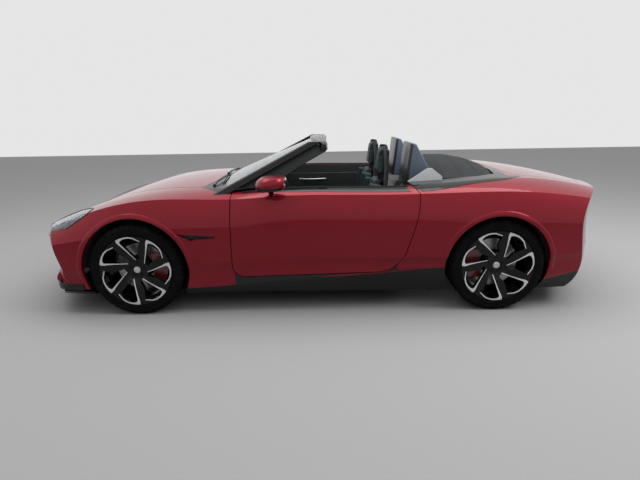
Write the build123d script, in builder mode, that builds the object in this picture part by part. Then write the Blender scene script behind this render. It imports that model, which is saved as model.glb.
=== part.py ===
"""Two-seat electric roadster with its soft top folded, as separate sub-parts.

Millimetres, +Z up.  The nose points to -X, the car's left side is at -Y, and the
origin is on the ground under the middle of the car.
"""

import os
from math import cos, radians, sin

from build123d import *

# ---------------------------------------------------------------- driving sizes
LENGTH = 4535.0
WHEELBASE = 2690.0
FRONT_OVERHANG = 915.0
FLOOR_Z = 140.0
SKIN = 42.0
PANEL_GAP = 6.0

NOSE_X = -LENGTH / 2
TAIL_X = LENGTH / 2
FRONT_AXLE_X = NOSE_X + FRONT_OVERHANG
REAR_AXLE_X = FRONT_AXLE_X + WHEELBASE

# ------------------------------------------------------------------- coachwork
# One row for each cross-section of the coachwork, from nose to tail.
# x      : where the section stands
# mid    : height on the centre line
# crest  : inner line of the wing or deck, half width and height
# edge   : shoulder crease, half width and height
# side   : widest line of the side, half width and height
# fold   : crease low in the door, half width and height
# sill   : lower edge of the painted side, half width and height
BODY_LINES = (
    # x      mid  crest       edge        side        fold        sill
    (-2330, 548, (480, 560), (700, 532), (790, 450), (800, 330), (785, 190)),
    (-2000, 700, (520, 702), (775, 668), (885, 545), (893, 345), (872, 195)),
    (-1650, 828, (560, 822), (845, 792), (936, 610), (938, 380), (908, 200)),
    (-1350, 905, (590, 890), (880, 862), (946, 655), (943, 420), (912, 200)),
    (-900, 952, (640, 925), (888, 880), (940, 680), (930, 425), (905, 205)),
    (-300, 958, (790, 938), (894, 893), (938, 690), (921, 428), (900, 248)),
    (400, 955, (800, 940), (900, 896), (943, 690), (925, 430), (902, 310)),
    (900, 975, (775, 952), (905, 900), (952, 690), (938, 432), (908, 350)),
    (1340, 992, (720, 972), (902, 905), (956, 690), (948, 432), (915, 300)),
    (1850, 958, (660, 938), (868, 862), (925, 670), (918, 440), (885, 280)),
    (2330, 856, (600, 842), (815, 792), (870, 640), (868, 470), (845, 320)),
)
EDGE_SAG = 7.0
SHOULDER_SAG = 9.0
SIDE_SAG = 3.0
HOLLOW_SAG = 7.0
SKIRT_TUCK = 70.0

# Plan curve of the nose and of the tail at some heights: how far behind the
# foremost point (or ahead of the rearmost) the centre line lies.
NOSE_SET_BACK = ((100, 95), (260, 45), (450, 16), (560, 0), (680, 46), (820, 190), (1100, 560))
TAIL_SET_BACK = ((100, 190), (250, 30), (420, 0), (600, 14), (800, 10), (860, 0), (1100, 40))
NOSE_BOW = 0.406e-3
TAIL_BOW = 0.400e-3
WRAP_HALF_WIDTH = 1050.0


def section(row, inset):
    """Closed outline of one cross-section, in the plane's own axes."""
    x, mid, crest, edge, side, fold, sill = row
    crest, edge, side, fold, sill = [
        (y - inset, z - inset) for y, z in (crest, edge, side, fold, sill)
    ]
    mid = mid - inset
    sill = (sill[0], sill[1] + inset)
    floor = FLOOR_Z + inset
    crown = (crest[0] / 2, mid - (mid - crest[1]) / 4)
    tuck = (sill[0] - SKIRT_TUCK, floor)
    with BuildSketch(Plane.YZ.offset(x)) as outline:
        with BuildLine():
            ThreePointArc((0, mid), crown, crest)
            SagittaArc(crest, edge, EDGE_SAG)
            SagittaArc(edge, side, SHOULDER_SAG)
            SagittaArc(side, fold, SIDE_SAG)
            SagittaArc(fold, sill, -HOLLOW_SAG)
            Line(sill, tuck)
            Line(tuck, (0, floor))
            mirror(about=Plane.YZ)
        make_face()
    return outline.sketch


def wrap(rows, tip_x, outward, bow, inset):
    """Solid behind a bowed face, lofted upwards through its plan curves."""
    with BuildPart() as form:
        for height, set_back in rows:
            centre_x = tip_x - outward * (set_back + inset)
            corner_x = centre_x - outward * bow * WRAP_HALF_WIDTH**2
            with BuildSketch(Plane.XY.offset(height)):
                with BuildLine():
                    ThreePointArc(
                        (corner_x, -WRAP_HALF_WIDTH), (centre_x, 0), (corner_x, WRAP_HALF_WIDTH)
                    )
                    Polyline(
                        (corner_x, WRAP_HALF_WIDTH),
                        (-outward * LENGTH, WRAP_HALF_WIDTH),
                        (-outward * LENGTH, -WRAP_HALF_WIDTH),
                        (corner_x, -WRAP_HALF_WIDTH),
                    )
                make_face()
        loft()
    return form.part


def coachwork(inset):
    """Closed form of the whole coachwork, every face moved inwards by inset."""
    with BuildPart() as form:
        loft(sections=[section(row, inset) for row in BODY_LINES])
        add(wrap(NOSE_SET_BACK, NOSE_X, -1, NOSE_BOW, inset), mode=Mode.INTERSECT)
        add(wrap(TAIL_SET_BACK, TAIL_X, 1, TAIL_BOW, inset), mode=Mode.INTERSECT)
    return form.part


def plan_prism(points, low, high, grow=0.0):
    """Upright prism over a closed plan outline, its sides moved outwards by grow."""
    with BuildPart() as form:
        with BuildSketch(Plane.XY.offset(low)):
            with BuildLine():
                Polyline(*points, close=True)
            make_face()
            if grow:
                offset(amount=grow, kind=Kind.INTERSECTION)
        extrude(amount=high - low)
    return form.part


def side_prism(points, inside, outside, grow=0.0):
    """Prism over an outline of x and z, on the left from half width inside to outside."""
    with BuildPart() as form:
        with BuildSketch(Plane.XZ.offset(inside)):
            with BuildLine():
                Polyline(*points, close=True)
            make_face()
            if grow:
                offset(amount=grow, kind=Kind.INTERSECTION)
        extrude(amount=outside - inside)
    return form.part


def both_sides(points):
    """Plan outline given for one half, front to rear, closed over the other half."""
    return [(x, -y) for x, y in points] + [(x, y) for x, y in reversed(points) if y > 0]


def box(x_range, y_range, z_range):
    """Block between two corners, given as ranges along each axis."""
    with BuildPart() as form:
        with BuildSketch(Plane.XY.offset(z_range[0])):
            with Locations(((x_range[0] + x_range[1]) / 2, (y_range[0] + y_range[1]) / 2)):
                Rectangle(x_range[1] - x_range[0], y_range[1] - y_range[0])
        extrude(amount=z_range[1] - z_range[0])
    return form.part


def rod(start, end, radius):
    """Round bar from one point to another."""
    axis = Vector(*end) - Vector(*start)
    with BuildPart() as form:
        with BuildSketch(Plane(origin=start, z_dir=tuple(axis))):
            Circle(radius)
        extrude(amount=axis.length)
    return form.part


def cross_disc(x, z, radius, y_from, y_to):
    """Disc about an axle's line, between two positions along Y."""
    return rod((x, y_from, z), (x, y_to, z), radius)


# ------------------------------------------------------------- lines between panels
DOOR_INNER_Y = 790.0
DOOR_SKIN_Y = 905.0
BELT_TOP = 1100.0
SIDE_REACH = 1000.0

DOOR_FRONT_X = -611.0
DOOR_FOOT_X = -628.0
DOOR_FOOT_Z = 289.0
DOOR_HEEL = (596.0, 318.0)
DOOR_REAR_TOP_X = 799.0
DOOR_FRONT_ROUND = 85.0
DOOR_HEEL_ROUND = 170.0
DOOR_REAR_SLOPE = 0.62

BONNET_EDGE = ((-2050, 0), (-2035, 200), (-1985, 360), (-1880, 490), (-1700, 505), (-1350, 535),
               (-1080, 580), (-905, 625), (-855, 560), (-815, 380), (-800, 0))
BONNET_FLANGE = 12.0
BONNET_FLANGE_WIDTH = 26.0
BOOT_EDGE = ((1500, 0), (1512, 400), (1560, 560), (1700, 590), (1950, 560), (2080, 500),
             (2150, 300), (2170, 0))
COWL_EDGE = ((-794, 0), (-809, 380), (-849, 566), (-885, 640), (-720, 785), (-622, 785),
             (-622, 0))
SURROUND_EDGE = ((700, 700), (700, 868), (1000, 835), (1300, 720), (1480, 620), (1490, 300),
                 (1494, 0))
COVER_HOLE = ((700, 0), (700, 640), (900, 640), (1250, 600), (1400, 520), (1440, 300), (1450, 0))
LAMP_EDGE = ((-1690, 905), (-1672, 790), (-1700, 720), (-1880, 560), (-2110, 470),
             (-2160, 560), (-2030, 800))
LAMP_FOOT = ((-2250, 560), (-1930, 620), (-1690, 775), (-1600, 1000), (-2250, 1000))
BUMPER_X = -1700.0
REAR_BUMPER_EDGE = ((1600, 0), (1640, 400), (1730, 520), (1990, 602), (2040, 800), (2400, 800),
                    (2400, 0))
DIFFUSER_EDGE = ((1500, 0), (1500, 205), (1660, 205), (1980, 300), (2110, 420), (2400, 420), (2400, 0))
SPLITTER_TOP = 205.0
SPLITTER_DEPTH = 330.0
SPLITTER_SHELF_Z = 175.0
SKIRT_EDGE = ((-1010, 100), (-1010, 205), (-768, 215), (100, 288), (940, 340), (1010, 340),
              (1010, 100))

# ----------------------------------------------------------------- wheels and tyres
FRONT_HUB_Z = 352.0
REAR_HUB_Z = 350.0
TYRE_FACE_Y = 930.0
FRONT_TYRE_WIDTH = 245.0
REAR_TYRE_WIDTH = 275.0
RIM_RADIUS = 268.0
RIM_WALL = 12.0
TYRE_BEAD_RADIUS = 254.0
ARCH_CLEARANCE = 46.0
REAR_ARCH_CLEARANCE = 35.0
FRONT_ARCH = FRONT_HUB_Z + ARCH_CLEARANCE
REAR_ARCH = REAR_HUB_Z + REAR_ARCH_CLEARANCE
FRONT_HOUSE_Y = 480.0
REAR_HOUSE_Y = 620.0
LINER = 5.0
KINGPIN_Y = 745.0

LENS_DEPTH = 24.0
GRILLE_THICK = 12.0
outer = coachwork(0)
lens_bed = coachwork(LENS_DEPTH)
grille_bed = coachwork(LENS_DEPTH + GRILLE_THICK)
with BuildPart() as shell_form:
    add(outer)
    add(coachwork(SKIN), mode=Mode.SUBTRACT)
shell = shell_form.part


def door_region(grow):
    """Space of the left door, narrower inwards at its rear edge so that it swings out."""
    with BuildPart() as form:
        for depth in (SIDE_REACH, DOOR_INNER_Y - grow):
            taper = (DOOR_SKIN_Y - depth) * DOOR_REAR_SLOPE
            with BuildSketch(Plane.XZ.offset(depth)):
                with BuildLine():
                    FilletPolyline(
                        (DOOR_FRONT_X, BELT_TOP),
                        (DOOR_FOOT_X, DOOR_FOOT_Z),
                        (DOOR_HEEL[0] - taper, DOOR_HEEL[1]),
                        (DOOR_REAR_TOP_X - taper, BELT_TOP),
                        radius=(DOOR_FRONT_ROUND, DOOR_HEEL_ROUND),
                    )
                    Line((DOOR_REAR_TOP_X - taper, BELT_TOP), (DOOR_FRONT_X, BELT_TOP))
                make_face()
                if grow:
                    offset(amount=grow, kind=Kind.INTERSECTION)
        loft(ruled=True)
    return form.part


door_space = door_region(PANEL_GAP)
BAY_LOW_Z = 400.0
bonnet_space = plan_prism(both_sides(BONNET_EDGE), BAY_LOW_Z, BELT_TOP, PANEL_GAP)
boot_space = plan_prism(both_sides(BOOT_EDGE), 700, BELT_TOP, PANEL_GAP)
cowl_space = plan_prism(both_sides(COWL_EDGE), 700, BELT_TOP)
surround_space = plan_prism(both_sides(SURROUND_EDGE), 700, BELT_TOP)
lamp_space = plan_prism([(x, -y) for x, y in LAMP_EDGE], 500, BELT_TOP) & side_prism(
    LAMP_FOOT, 400, SIDE_REACH
)
skirt_space = side_prism(SKIRT_EDGE, 780, SIDE_REACH)
front_arch = cross_disc(FRONT_AXLE_X, FRONT_HUB_Z, FRONT_ARCH, -FRONT_HOUSE_Y, -SIDE_REACH)
rear_arch = cross_disc(REAR_AXLE_X, REAR_HUB_Z, REAR_ARCH, -REAR_HOUSE_Y, -SIDE_REACH)
ARCH_LIP_Y = 880.0
front_house = cross_disc(
    FRONT_AXLE_X, FRONT_HUB_Z, FRONT_ARCH + LINER + 1, -FRONT_HOUSE_Y + LINER, -ARCH_LIP_Y
)
rear_house = cross_disc(
    REAR_AXLE_X, REAR_HUB_Z, REAR_ARCH + LINER + 1, -REAR_HOUSE_Y + LINER, -ARCH_LIP_Y
)


def on_both_sides(*spaces):
    """Spaces on the left, and their mirror images on the right."""
    return [*spaces, *[mirror(space, about=Plane.XZ) for space in spaces]]


front_wells = on_both_sides(front_arch, front_house)
rear_wells = on_both_sides(rear_arch, rear_house)
lamp_spaces = on_both_sides(lamp_space)
door_spaces = on_both_sides(door_space)


# ------------------------------------------------------------------ outer panels
# Outlet behind the front wheel, x and z, and how far out its floor lies.
WING_VENT = ((-1020, 634), (-735, 612), (-745, 598), (-880, 592), (-916, 580))
VENT_FLOOR_Y = 912.0
vent_space = side_prism(WING_VENT, VENT_FLOOR_Y, SIDE_REACH)
QUARTER_X = 600.0
QUARTER_OPEN_X = 1800.0
SHUT_X = 700.0
WING_INNER_Y = 780.0
WING_UNDER_Z = 700.0

with BuildPart() as front_wing_left:
    add(shell)
    add(box((BUMPER_X, DOOR_FRONT_X - PANEL_GAP), (-SIDE_REACH, -400), (150, BELT_TOP)),
        mode=Mode.INTERSECT)
    add([door_space, bonnet_space, cowl_space, lamp_space, skirt_space, front_arch, front_house,
         vent_space, box((BUMPER_X, 0), (-WING_INNER_Y, 0), (0, WING_UNDER_Z))], mode=Mode.SUBTRACT)

GRILLE_OPENING = ((-540, 222), (-440, 345), (440, 345), (540, 222))
SIDE_INTAKE = ((-820, 232), (-800, 420), (-700, 400), (-640, 232))
with BuildPart() as intake_form:
    with BuildSketch(Plane.YZ.offset(NOSE_X - 50)):
        with BuildLine():
            Polyline(*GRILLE_OPENING, close=True)
        make_face()
        with BuildLine():
            Polyline(*SIDE_INTAKE, close=True)
        make_face()
        with BuildLine():
            Polyline(*[(-y, z) for y, z in SIDE_INTAKE], close=True)
        make_face()
    extrude(amount=520)
intake_space = intake_form.part

with BuildPart() as front_bumper:
    add(shell)
    add(box((NOSE_X - 50, BUMPER_X), (-SIDE_REACH, SIDE_REACH), (SPLITTER_TOP, BELT_TOP)),
        mode=Mode.INTERSECT)
    add([bonnet_space, *lamp_spaces, *front_wells, intake_space], mode=Mode.SUBTRACT)

SLAT_PITCH = 24.0
SLAT_GAP = 14.0
SLAT_COUNT = 4
SLAT_LOW_Z = 246.0
SLAT_HALF = 500.0
GRILLE_POST_HALF = 12.0
slots = []
for row in range(SLAT_COUNT):
    low = SLAT_LOW_Z + row * SLAT_PITCH
    half = SLAT_HALF - row * SLAT_PITCH
    for start, end in ((-half, -GRILLE_POST_HALF), (GRILLE_POST_HALF, half)):
        slots.append(box((NOSE_X - 50, BUMPER_X), (start, end), (low, low + SLAT_GAP)))
with BuildPart() as front_grille:
    add(intake_space)
    add(lens_bed, mode=Mode.INTERSECT)
    add([grille_bed, *slots], mode=Mode.SUBTRACT)

with BuildPart() as front_splitter:
    add(outer)
    add(box((NOSE_X - 50, BUMPER_X - 10), (-SIDE_REACH, SIDE_REACH), (100, SPLITTER_TOP)),
        mode=Mode.INTERSECT)
    add([box((NOSE_X + SPLITTER_DEPTH, 0), (-SIDE_REACH, SIDE_REACH), (SPLITTER_SHELF_Z, 400)),
         *front_wells], mode=Mode.SUBTRACT)

with BuildPart() as headlamps:
    add(shell)
    add(lamp_space, mode=Mode.INTERSECT)
    mirror(about=Plane.XZ)

# The bonnet is thin along its edge, so that its rear corners rise clear of the wings.
with BuildPart() as bonnet_rim:
    add(plan_prism(both_sides(BONNET_EDGE), BAY_LOW_Z, BELT_TOP, 1))
    add(plan_prism(both_sides(BONNET_EDGE), BAY_LOW_Z, BELT_TOP, -BONNET_FLANGE_WIDTH), mode=Mode.SUBTRACT)
    add(coachwork(BONNET_FLANGE), mode=Mode.INTERSECT)

with BuildPart() as bonnet:
    add(shell)
    add(plan_prism(both_sides(BONNET_EDGE), BAY_LOW_Z, BELT_TOP), mode=Mode.INTERSECT)
    add(bonnet_rim.part, mode=Mode.SUBTRACT)

with BuildPart() as cowl_panel:
    add(shell)
    add(cowl_space, mode=Mode.INTERSECT)
    add(bonnet_space, mode=Mode.SUBTRACT)

with BuildPart() as door_left:
    add(outer)
    add(door_region(0), mode=Mode.INTERSECT)

with BuildPart() as skirts:
    add(outer)
    add(skirt_space, mode=Mode.INTERSECT)
    add(cross_disc(FRONT_AXLE_X, FRONT_HUB_Z, FRONT_ARCH, -700, -SIDE_REACH), mode=Mode.SUBTRACT)
    add(cross_disc(REAR_AXLE_X, REAR_HUB_Z, REAR_ARCH, -700, -SIDE_REACH), mode=Mode.SUBTRACT)
    mirror(about=Plane.XZ)

FLOOR_HALF = 705.0
STEERING_Y = 370.0
SILL_TOP_Z = 400.0
with BuildPart() as sills:
    add(outer)
    add(box((DOOR_FRONT_X - PANEL_GAP, QUARTER_X), (-SIDE_REACH, -FLOOR_HALF),
            (FLOOR_Z, SILL_TOP_Z)), mode=Mode.INTERSECT)
    add(door_space, mode=Mode.SUBTRACT)
    add(skirt_space, mode=Mode.SUBTRACT)
    mirror(about=Plane.XZ)

TAIL_LAMP_START = 2030.0
TAIL_LAMP = ((0, 690), (540, 690), (660, 642), (800, 642), (880, 715), (800, 788), (660, 788),
             (540, 724), (0, 724))
with BuildPart() as tail_lamp_form:
    with BuildSketch(Plane.YZ.offset(TAIL_LAMP_START)):
        with BuildLine():
            Polyline(*TAIL_LAMP)
            mirror(about=Plane.YZ)
        make_face()
    extrude(amount=600)
tail_lamp_space = tail_lamp_form.part

with BuildPart() as tail_lamps:
    add(outer)
    add(lens_bed, mode=Mode.SUBTRACT)
    add(tail_lamp_space, mode=Mode.INTERSECT)

with BuildPart() as rear_quarter_left:
    add(shell)
    add(box((QUARTER_X, TAIL_X + 50), (-SIDE_REACH, -1), (100, BELT_TOP)), mode=Mode.INTERSECT)
    add([door_space, boot_space, surround_space, skirt_space, rear_arch, rear_house,
         tail_lamps.part, side_prism(REAR_BUMPER_EDGE, 0, SIDE_REACH),
         box((0, QUARTER_OPEN_X), (-WING_INNER_Y, 0), (0, WING_UNDER_Z)),
         box((0, SHUT_X), (-DOOR_INNER_Y - SKIN, 0), (WING_UNDER_Z, BELT_TOP))], mode=Mode.SUBTRACT)

PLATE_HALF = 262.0
PLATE_Z = (500.0, 615.0)
PLATE_X = 2232.0
with BuildPart() as rear_bumper:
    add(shell)
    add(side_prism(REAR_BUMPER_EDGE, -SIDE_REACH, SIDE_REACH), mode=Mode.INTERSECT)
    add([side_prism(DIFFUSER_EDGE, -SIDE_REACH, SIDE_REACH), boot_space, tail_lamps.part,
         box((PLATE_X, TAIL_X + 50), (-PLATE_HALF, PLATE_HALF), PLATE_Z), *rear_wells],
        mode=Mode.SUBTRACT)

# The diffuser's ramp rises from the floor between two points of x and z.
RAMP_FOOT = (1800.0, FLOOR_Z)
RAMP_HEAD = (2280.0, 262.0)
RAMP_HALF = 600.0
RAMP_SHEET = 8.0
# Half widths at which its upright fins stand, and their side outline.
FIN_Y = (120.0, 330.0, 540.0)
FIN = ((1840, 154), (2240, 256), (2215, 185), (1900, 146))
FIN_THICK = 10.0
with BuildPart() as ramp:
    add(side_prism((RAMP_FOOT, RAMP_HEAD, (RAMP_HEAD[0], RAMP_HEAD[1] + RAMP_SHEET),
                    (RAMP_FOOT[0], RAMP_FOOT[1] + RAMP_SHEET)), -RAMP_HALF, RAMP_HALF))
    for fin_y in FIN_Y:
        for middle in (-fin_y, fin_y):
            add(side_prism(FIN, middle - FIN_THICK / 2, middle + FIN_THICK / 2))
    add(outer, mode=Mode.INTERSECT)

with BuildPart() as rear_diffuser:
    add(shell)
    add(side_prism(DIFFUSER_EDGE, -SIDE_REACH, SIDE_REACH), mode=Mode.INTERSECT)
    add([side_prism((RAMP_FOOT, RAMP_HEAD, (RAMP_HEAD[0], 0), (RAMP_FOOT[0], 0)),
                    -RAMP_HALF + 1, RAMP_HALF - 1), *rear_wells], mode=Mode.SUBTRACT)
    add(ramp.part)

with BuildPart() as boot_lid:
    add(shell)
    add(plan_prism(both_sides(BOOT_EDGE), 700, BELT_TOP), mode=Mode.INTERSECT)

with BuildPart() as roof_surround:
    add(shell)
    add(surround_space, mode=Mode.INTERSECT)
    add([plan_prism(both_sides(COVER_HOLE), 700, BELT_TOP), boot_space, *door_spaces],
        mode=Mode.SUBTRACT)

# ------------------------------------------------------------ windscreen and mirrors
PILLAR_FOOT = (-705.0, -792.0, 900.0)
PILLAR_TOP = (-2.0, -615.0, 1262.0)
HEADER_MID_X = -60.0
with BuildPart() as windscreen_frame:
    for side in (1, -1):
        with BuildSketch(Plane.XY.offset(PILLAR_FOOT[2])):
            with Locations((PILLAR_FOOT[0], side * PILLAR_FOOT[1])):
                RectangleRounded(120, 46, 20)
        with BuildSketch(Plane.XY.offset(PILLAR_TOP[2])):
            with Locations((PILLAR_TOP[0] + 10, side * PILLAR_TOP[1])):
                RectangleRounded(110, 44, 20)
        loft()
    with BuildSketch(Plane.XY.offset(1238)):
        with BuildLine():
            ThreePointArc((40, -650), (-55, 0), (40, 650))
            Line((40, 650), (95, 640))
            ThreePointArc((95, 640), (25, 0), (95, -640))
            Line((95, -640), (40, -650))
        make_face()
    extrude(amount=38)
    add(outer, mode=Mode.SUBTRACT)

with BuildPart() as windscreen_glass:
    for height, mid_x, corner_x, half in ((905, -890, -690, 772), (1250, -48, 20, 600)):
        with BuildSketch(Plane.XY.offset(height)):
            with BuildLine():
                ThreePointArc((corner_x, -half), (mid_x, 0), (corner_x, half))
                Line((corner_x, half), (corner_x + 14, half))
                ThreePointArc((corner_x + 14, half), (mid_x + 14, 0), (corner_x + 14, -half))
                Line((corner_x + 14, -half), (corner_x, -half))
            make_face()
    loft(ruled=True)
    add(outer, mode=Mode.SUBTRACT)
    add(windscreen_frame.part, mode=Mode.SUBTRACT)

with BuildPart() as mirror_left:
    with BuildSketch(Plane.XY.offset(958)):
        with Locations((-318, -965)):
            Ellipse(96, 112)
    with BuildSketch(Plane.XY.offset(1000)):
        with Locations((-308, -968)):
            Ellipse(108, 118)
    with BuildSketch(Plane.XY.offset(1042)):
        with Locations((-292, -965)):
            Ellipse(82, 100)
    loft()
    add(rod((-322, -872, 915), (-318, -925, 985), 20))
    add(door_left.part, mode=Mode.SUBTRACT)

# ------------------------------------------------------------------------- cabin
PANEL_SHEET = 8.0
CABIN_FRONT_X = -860.0
BULKHEAD_X = 655.0
BATTERY_TOP = 256.0
FLOOR_TOP = 274.0
SHELF_Z = 893.0
SHELF_HALF = 635.0
SHELF_END_X = 880.0
DASH_LOW_Z = 640.0
TOEBOARD_TOP = 700.0
TUNNEL_X = -420.0
TUNNEL_HALF = 90.0
TUNNEL_TOP = 330.0
with BuildPart() as floor_pan:
    add(box((CABIN_FRONT_X, BULKHEAD_X + PANEL_SHEET), (-FLOOR_HALF, FLOOR_HALF),
            (BATTERY_TOP, FLOOR_TOP)))
    add(box((BULKHEAD_X, BULKHEAD_X + PANEL_SHEET), (-FLOOR_HALF, FLOOR_HALF), (BATTERY_TOP, SHELF_Z)))
    add(box((BULKHEAD_X, SHELF_END_X), (-SHELF_HALF, SHELF_HALF), (SHELF_Z - PANEL_SHEET, SHELF_Z)))
    add(box((CABIN_FRONT_X, CABIN_FRONT_X + PANEL_SHEET), (-FLOOR_HALF, FLOOR_HALF),
            (BATTERY_TOP, TOEBOARD_TOP)))
    add(box((TUNNEL_X, BULKHEAD_X), (-TUNNEL_HALF, TUNNEL_HALF), (FLOOR_TOP, TUNNEL_TOP)))

STEERING_CENTRE = Vector(-225.0, -STEERING_Y, 800.0)
COLUMN_TILT = 22.0
COLUMN_AXIS = Vector(cos(radians(COLUMN_TILT)), 0, sin(radians(COLUMN_TILT)))


def on_column(distance):
    """Point of the steering column's axis, behind the wheel's centre by distance."""
    return tuple(STEERING_CENTRE + COLUMN_AXIS * distance)


BATTERY_LENGTH = 1550.0
BATTERY_HALF = 650.0
BATTERY_CORNER = 60.0
UNDERTRAY = 4.0
with BuildPart() as battery_pack:
    battery_start = CABIN_FRONT_X + 10
    add(box((battery_start, battery_start + BATTERY_LENGTH), (-BATTERY_HALF, BATTERY_HALF),
            (FLOOR_Z - UNDERTRAY, BATTERY_TOP)))
    chamfer(battery_pack.edges().filter_by(Axis.Z), BATTERY_CORNER)

DASH = ((-780, DASH_LOW_Z), (-780, 860), (-640, 915), (-480, 925), (-370, 900), (-330, 850),
        (-360, 760), (-450, DASH_LOW_Z))
BINNACLE = ((-470, 915), (-452, 965), (-430, 975), (-395, 905))
SCREEN_HALF = 135.0
SHROUD_RADIUS = 34.0
SHROUD_LENGTH = 150.0
COLUMN_LENGTH = 100.0
COLUMN_GAP = 2.0
CENTRE_SCREEN = ((-345, 780), (-355, 935), (-343, 937), (-325, 782))
with BuildPart() as cowl_skin:
    add(shell)
    add(box((CABIN_FRONT_X, DOOR_FRONT_X), (-SIDE_REACH, SIDE_REACH), (WING_UNDER_Z, BELT_TOP)),
        mode=Mode.INTERSECT)

with BuildPart() as dashboard:
    add(side_prism(DASH, -FLOOR_HALF, FLOOR_HALF))
    add(side_prism(BINNACLE, -STEERING_Y - SCREEN_HALF, -STEERING_Y + SCREEN_HALF))
    add(side_prism(CENTRE_SCREEN, -SCREEN_HALF, SCREEN_HALF))
    add(rod(on_column(-COLUMN_LENGTH - COLUMN_GAP), on_column(-COLUMN_LENGTH - SHROUD_LENGTH),
            SHROUD_RADIUS))
    add(cowl_skin.part, mode=Mode.SUBTRACT)
    add(windscreen_frame.part, mode=Mode.SUBTRACT)

CONSOLE_HALF = 120.0
CONSOLE = ((-452, TUNNEL_TOP + 1), (-452, DASH_LOW_Z - 1), (-370, DASH_LOW_Z - 2), (-250, 590),
           (60, 575), (420, 600), (560, 600), (560, TUNNEL_TOP + 1))
CUP_RADIUS = 38.0
CUP_DEPTH = 60.0
CUP_X = (-60.0, 40.0)
with BuildPart() as centre_console:
    add(side_prism(CONSOLE, -CONSOLE_HALF, CONSOLE_HALF))
    for cup_x in CUP_X:
        add(rod((cup_x, 0, 600 - CUP_DEPTH), (cup_x, 0, DASH_LOW_Z), CUP_RADIUS), mode=Mode.SUBTRACT)

SEAT_Y = 370.0
SEAT_HALF = 245.0
SEAT_CENTRE_HALF = 165.0
SEAT_HEAD_HALF = 135.0
# Side outline of the seat's middle and of its bolsters, x and z.
SEAT = ((-60, 330), (-85, 400), (300, 375), (395, 560), (480, 1000), (505, 1225), (590, 1215),
        (600, 1000), (540, 560), (500, 330), (430, 300), (0, 290))
BOLSTER = ((-60, 330), (-80, 420), (280, 450), (345, 560), (430, 950), (480, 1000), (600, 1000),
           (540, 560), (500, 330), (430, 300), (0, 290))
# Front outline of one half of the seat, from its middle, y and z.
SEAT_FRONT = ((0, 280), (SEAT_HALF - 15, 280), (SEAT_HALF, 420), (SEAT_HALF, 900),
              (SEAT_HALF - 40, 985), (SEAT_HEAD_HALF + 20, 1060), (SEAT_HEAD_HALF, 1180),
              (SEAT_HEAD_HALF - 30, 1240), (0, 1240))
with BuildPart() as seat_outline:
    with BuildSketch(Plane.YZ.offset(-100)):
        with Locations((-SEAT_Y, 0)):
            with BuildSketch(mode=Mode.PRIVATE) as half_front:
                with BuildLine():
                    Polyline(*SEAT_FRONT, close=True)
                make_face()
            add(half_front.sketch)
            add(mirror(half_front.sketch, about=Plane.YZ, mode=Mode.PRIVATE))
    extrude(amount=750)

with BuildPart() as seat_left:
    add(side_prism(SEAT, SEAT_Y - SEAT_HALF, SEAT_Y + SEAT_HALF))
    for inside in (SEAT_Y - SEAT_HALF, SEAT_Y + SEAT_CENTRE_HALF):
        add(side_prism(BOLSTER, inside, inside + SEAT_HALF - SEAT_CENTRE_HALF))
    add(seat_outline.part, mode=Mode.INTERSECT)
    add(box((-60, 500), (-SEAT_Y - 225, -SEAT_Y + 225), (FLOOR_TOP, 300)))

HOOP = ((700, SHELF_Z), (738, 1228), (780, 1222), (905, 1000), (905, SHELF_Z + 90),
        (880, SHELF_Z + 55), (SHELF_END_X, SHELF_Z))
HOOP_Y = (190.0, 530.0)
with BuildPart() as roll_hoops:
    add(side_prism(HOOP, *HOOP_Y))
    mirror(about=Plane.XZ)

# Sections of the folded roof's cover: where, half width and top.
COVER_FOOT_Z = 930.0
COVER_SIDE_Z = 962.0
COVER_TOP = ((885, 560, 1068), (1000, 600, 1090), (1150, 600, 1086), (1300, 540, 1056),
             (1430, 430, 1012))
with BuildPart() as roof_cover:
    for x, half, top in COVER_TOP:
        with BuildSketch(Plane.YZ.offset(x)):
            with BuildLine():
                ThreePointArc((-half, COVER_SIDE_Z), (0, top), (half, COVER_SIDE_Z))
                Line((half, COVER_SIDE_Z), (half, COVER_FOOT_Z))
                Line((half, COVER_FOOT_Z), (-half, COVER_FOOT_Z))
                Line((-half, COVER_FOOT_Z), (-half, COVER_SIDE_Z))
            make_face()
    loft()
    add(roof_surround.part, mode=Mode.SUBTRACT)
    add(roll_hoops.part, mode=Mode.SUBTRACT)

FLAP = ((690, 925), (690, 945), (840, 1045), (880, 1048), (960, 985), (960, 925))
FLAP_Y = (645.0, 657.0)
with BuildPart() as roof_flaps:
    add(side_prism(FLAP, *FLAP_Y))
    add(outer, mode=Mode.SUBTRACT)
    mirror(about=Plane.XZ)

STEERING_RADIUS = 182.0
STEERING_GRIP = 30.0
COLUMN_RADIUS = 24.0
wheel_plane = Plane(origin=on_column(0), x_dir=(0, 1, 0), z_dir=tuple(COLUMN_AXIS))
with BuildPart() as steering_wheel:
    with BuildSketch(wheel_plane.offset(-STEERING_GRIP / 2)):
        Circle(STEERING_RADIUS)
        Circle(STEERING_RADIUS - STEERING_GRIP, mode=Mode.SUBTRACT)
    extrude(amount=STEERING_GRIP)
    with BuildSketch(wheel_plane.offset(-28)):
        RectangleRounded(130, 100, 30)
        with Locations((0, 10)):
            Rectangle(320, 34)
        with Locations((0, -85)):
            Rectangle(50, 150)
    extrude(amount=26)
    with BuildSketch(wheel_plane.offset(-COLUMN_LENGTH)):
        Circle(COLUMN_RADIUS)
    extrude(amount=COLUMN_LENGTH - STEERING_GRIP / 2)

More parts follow.
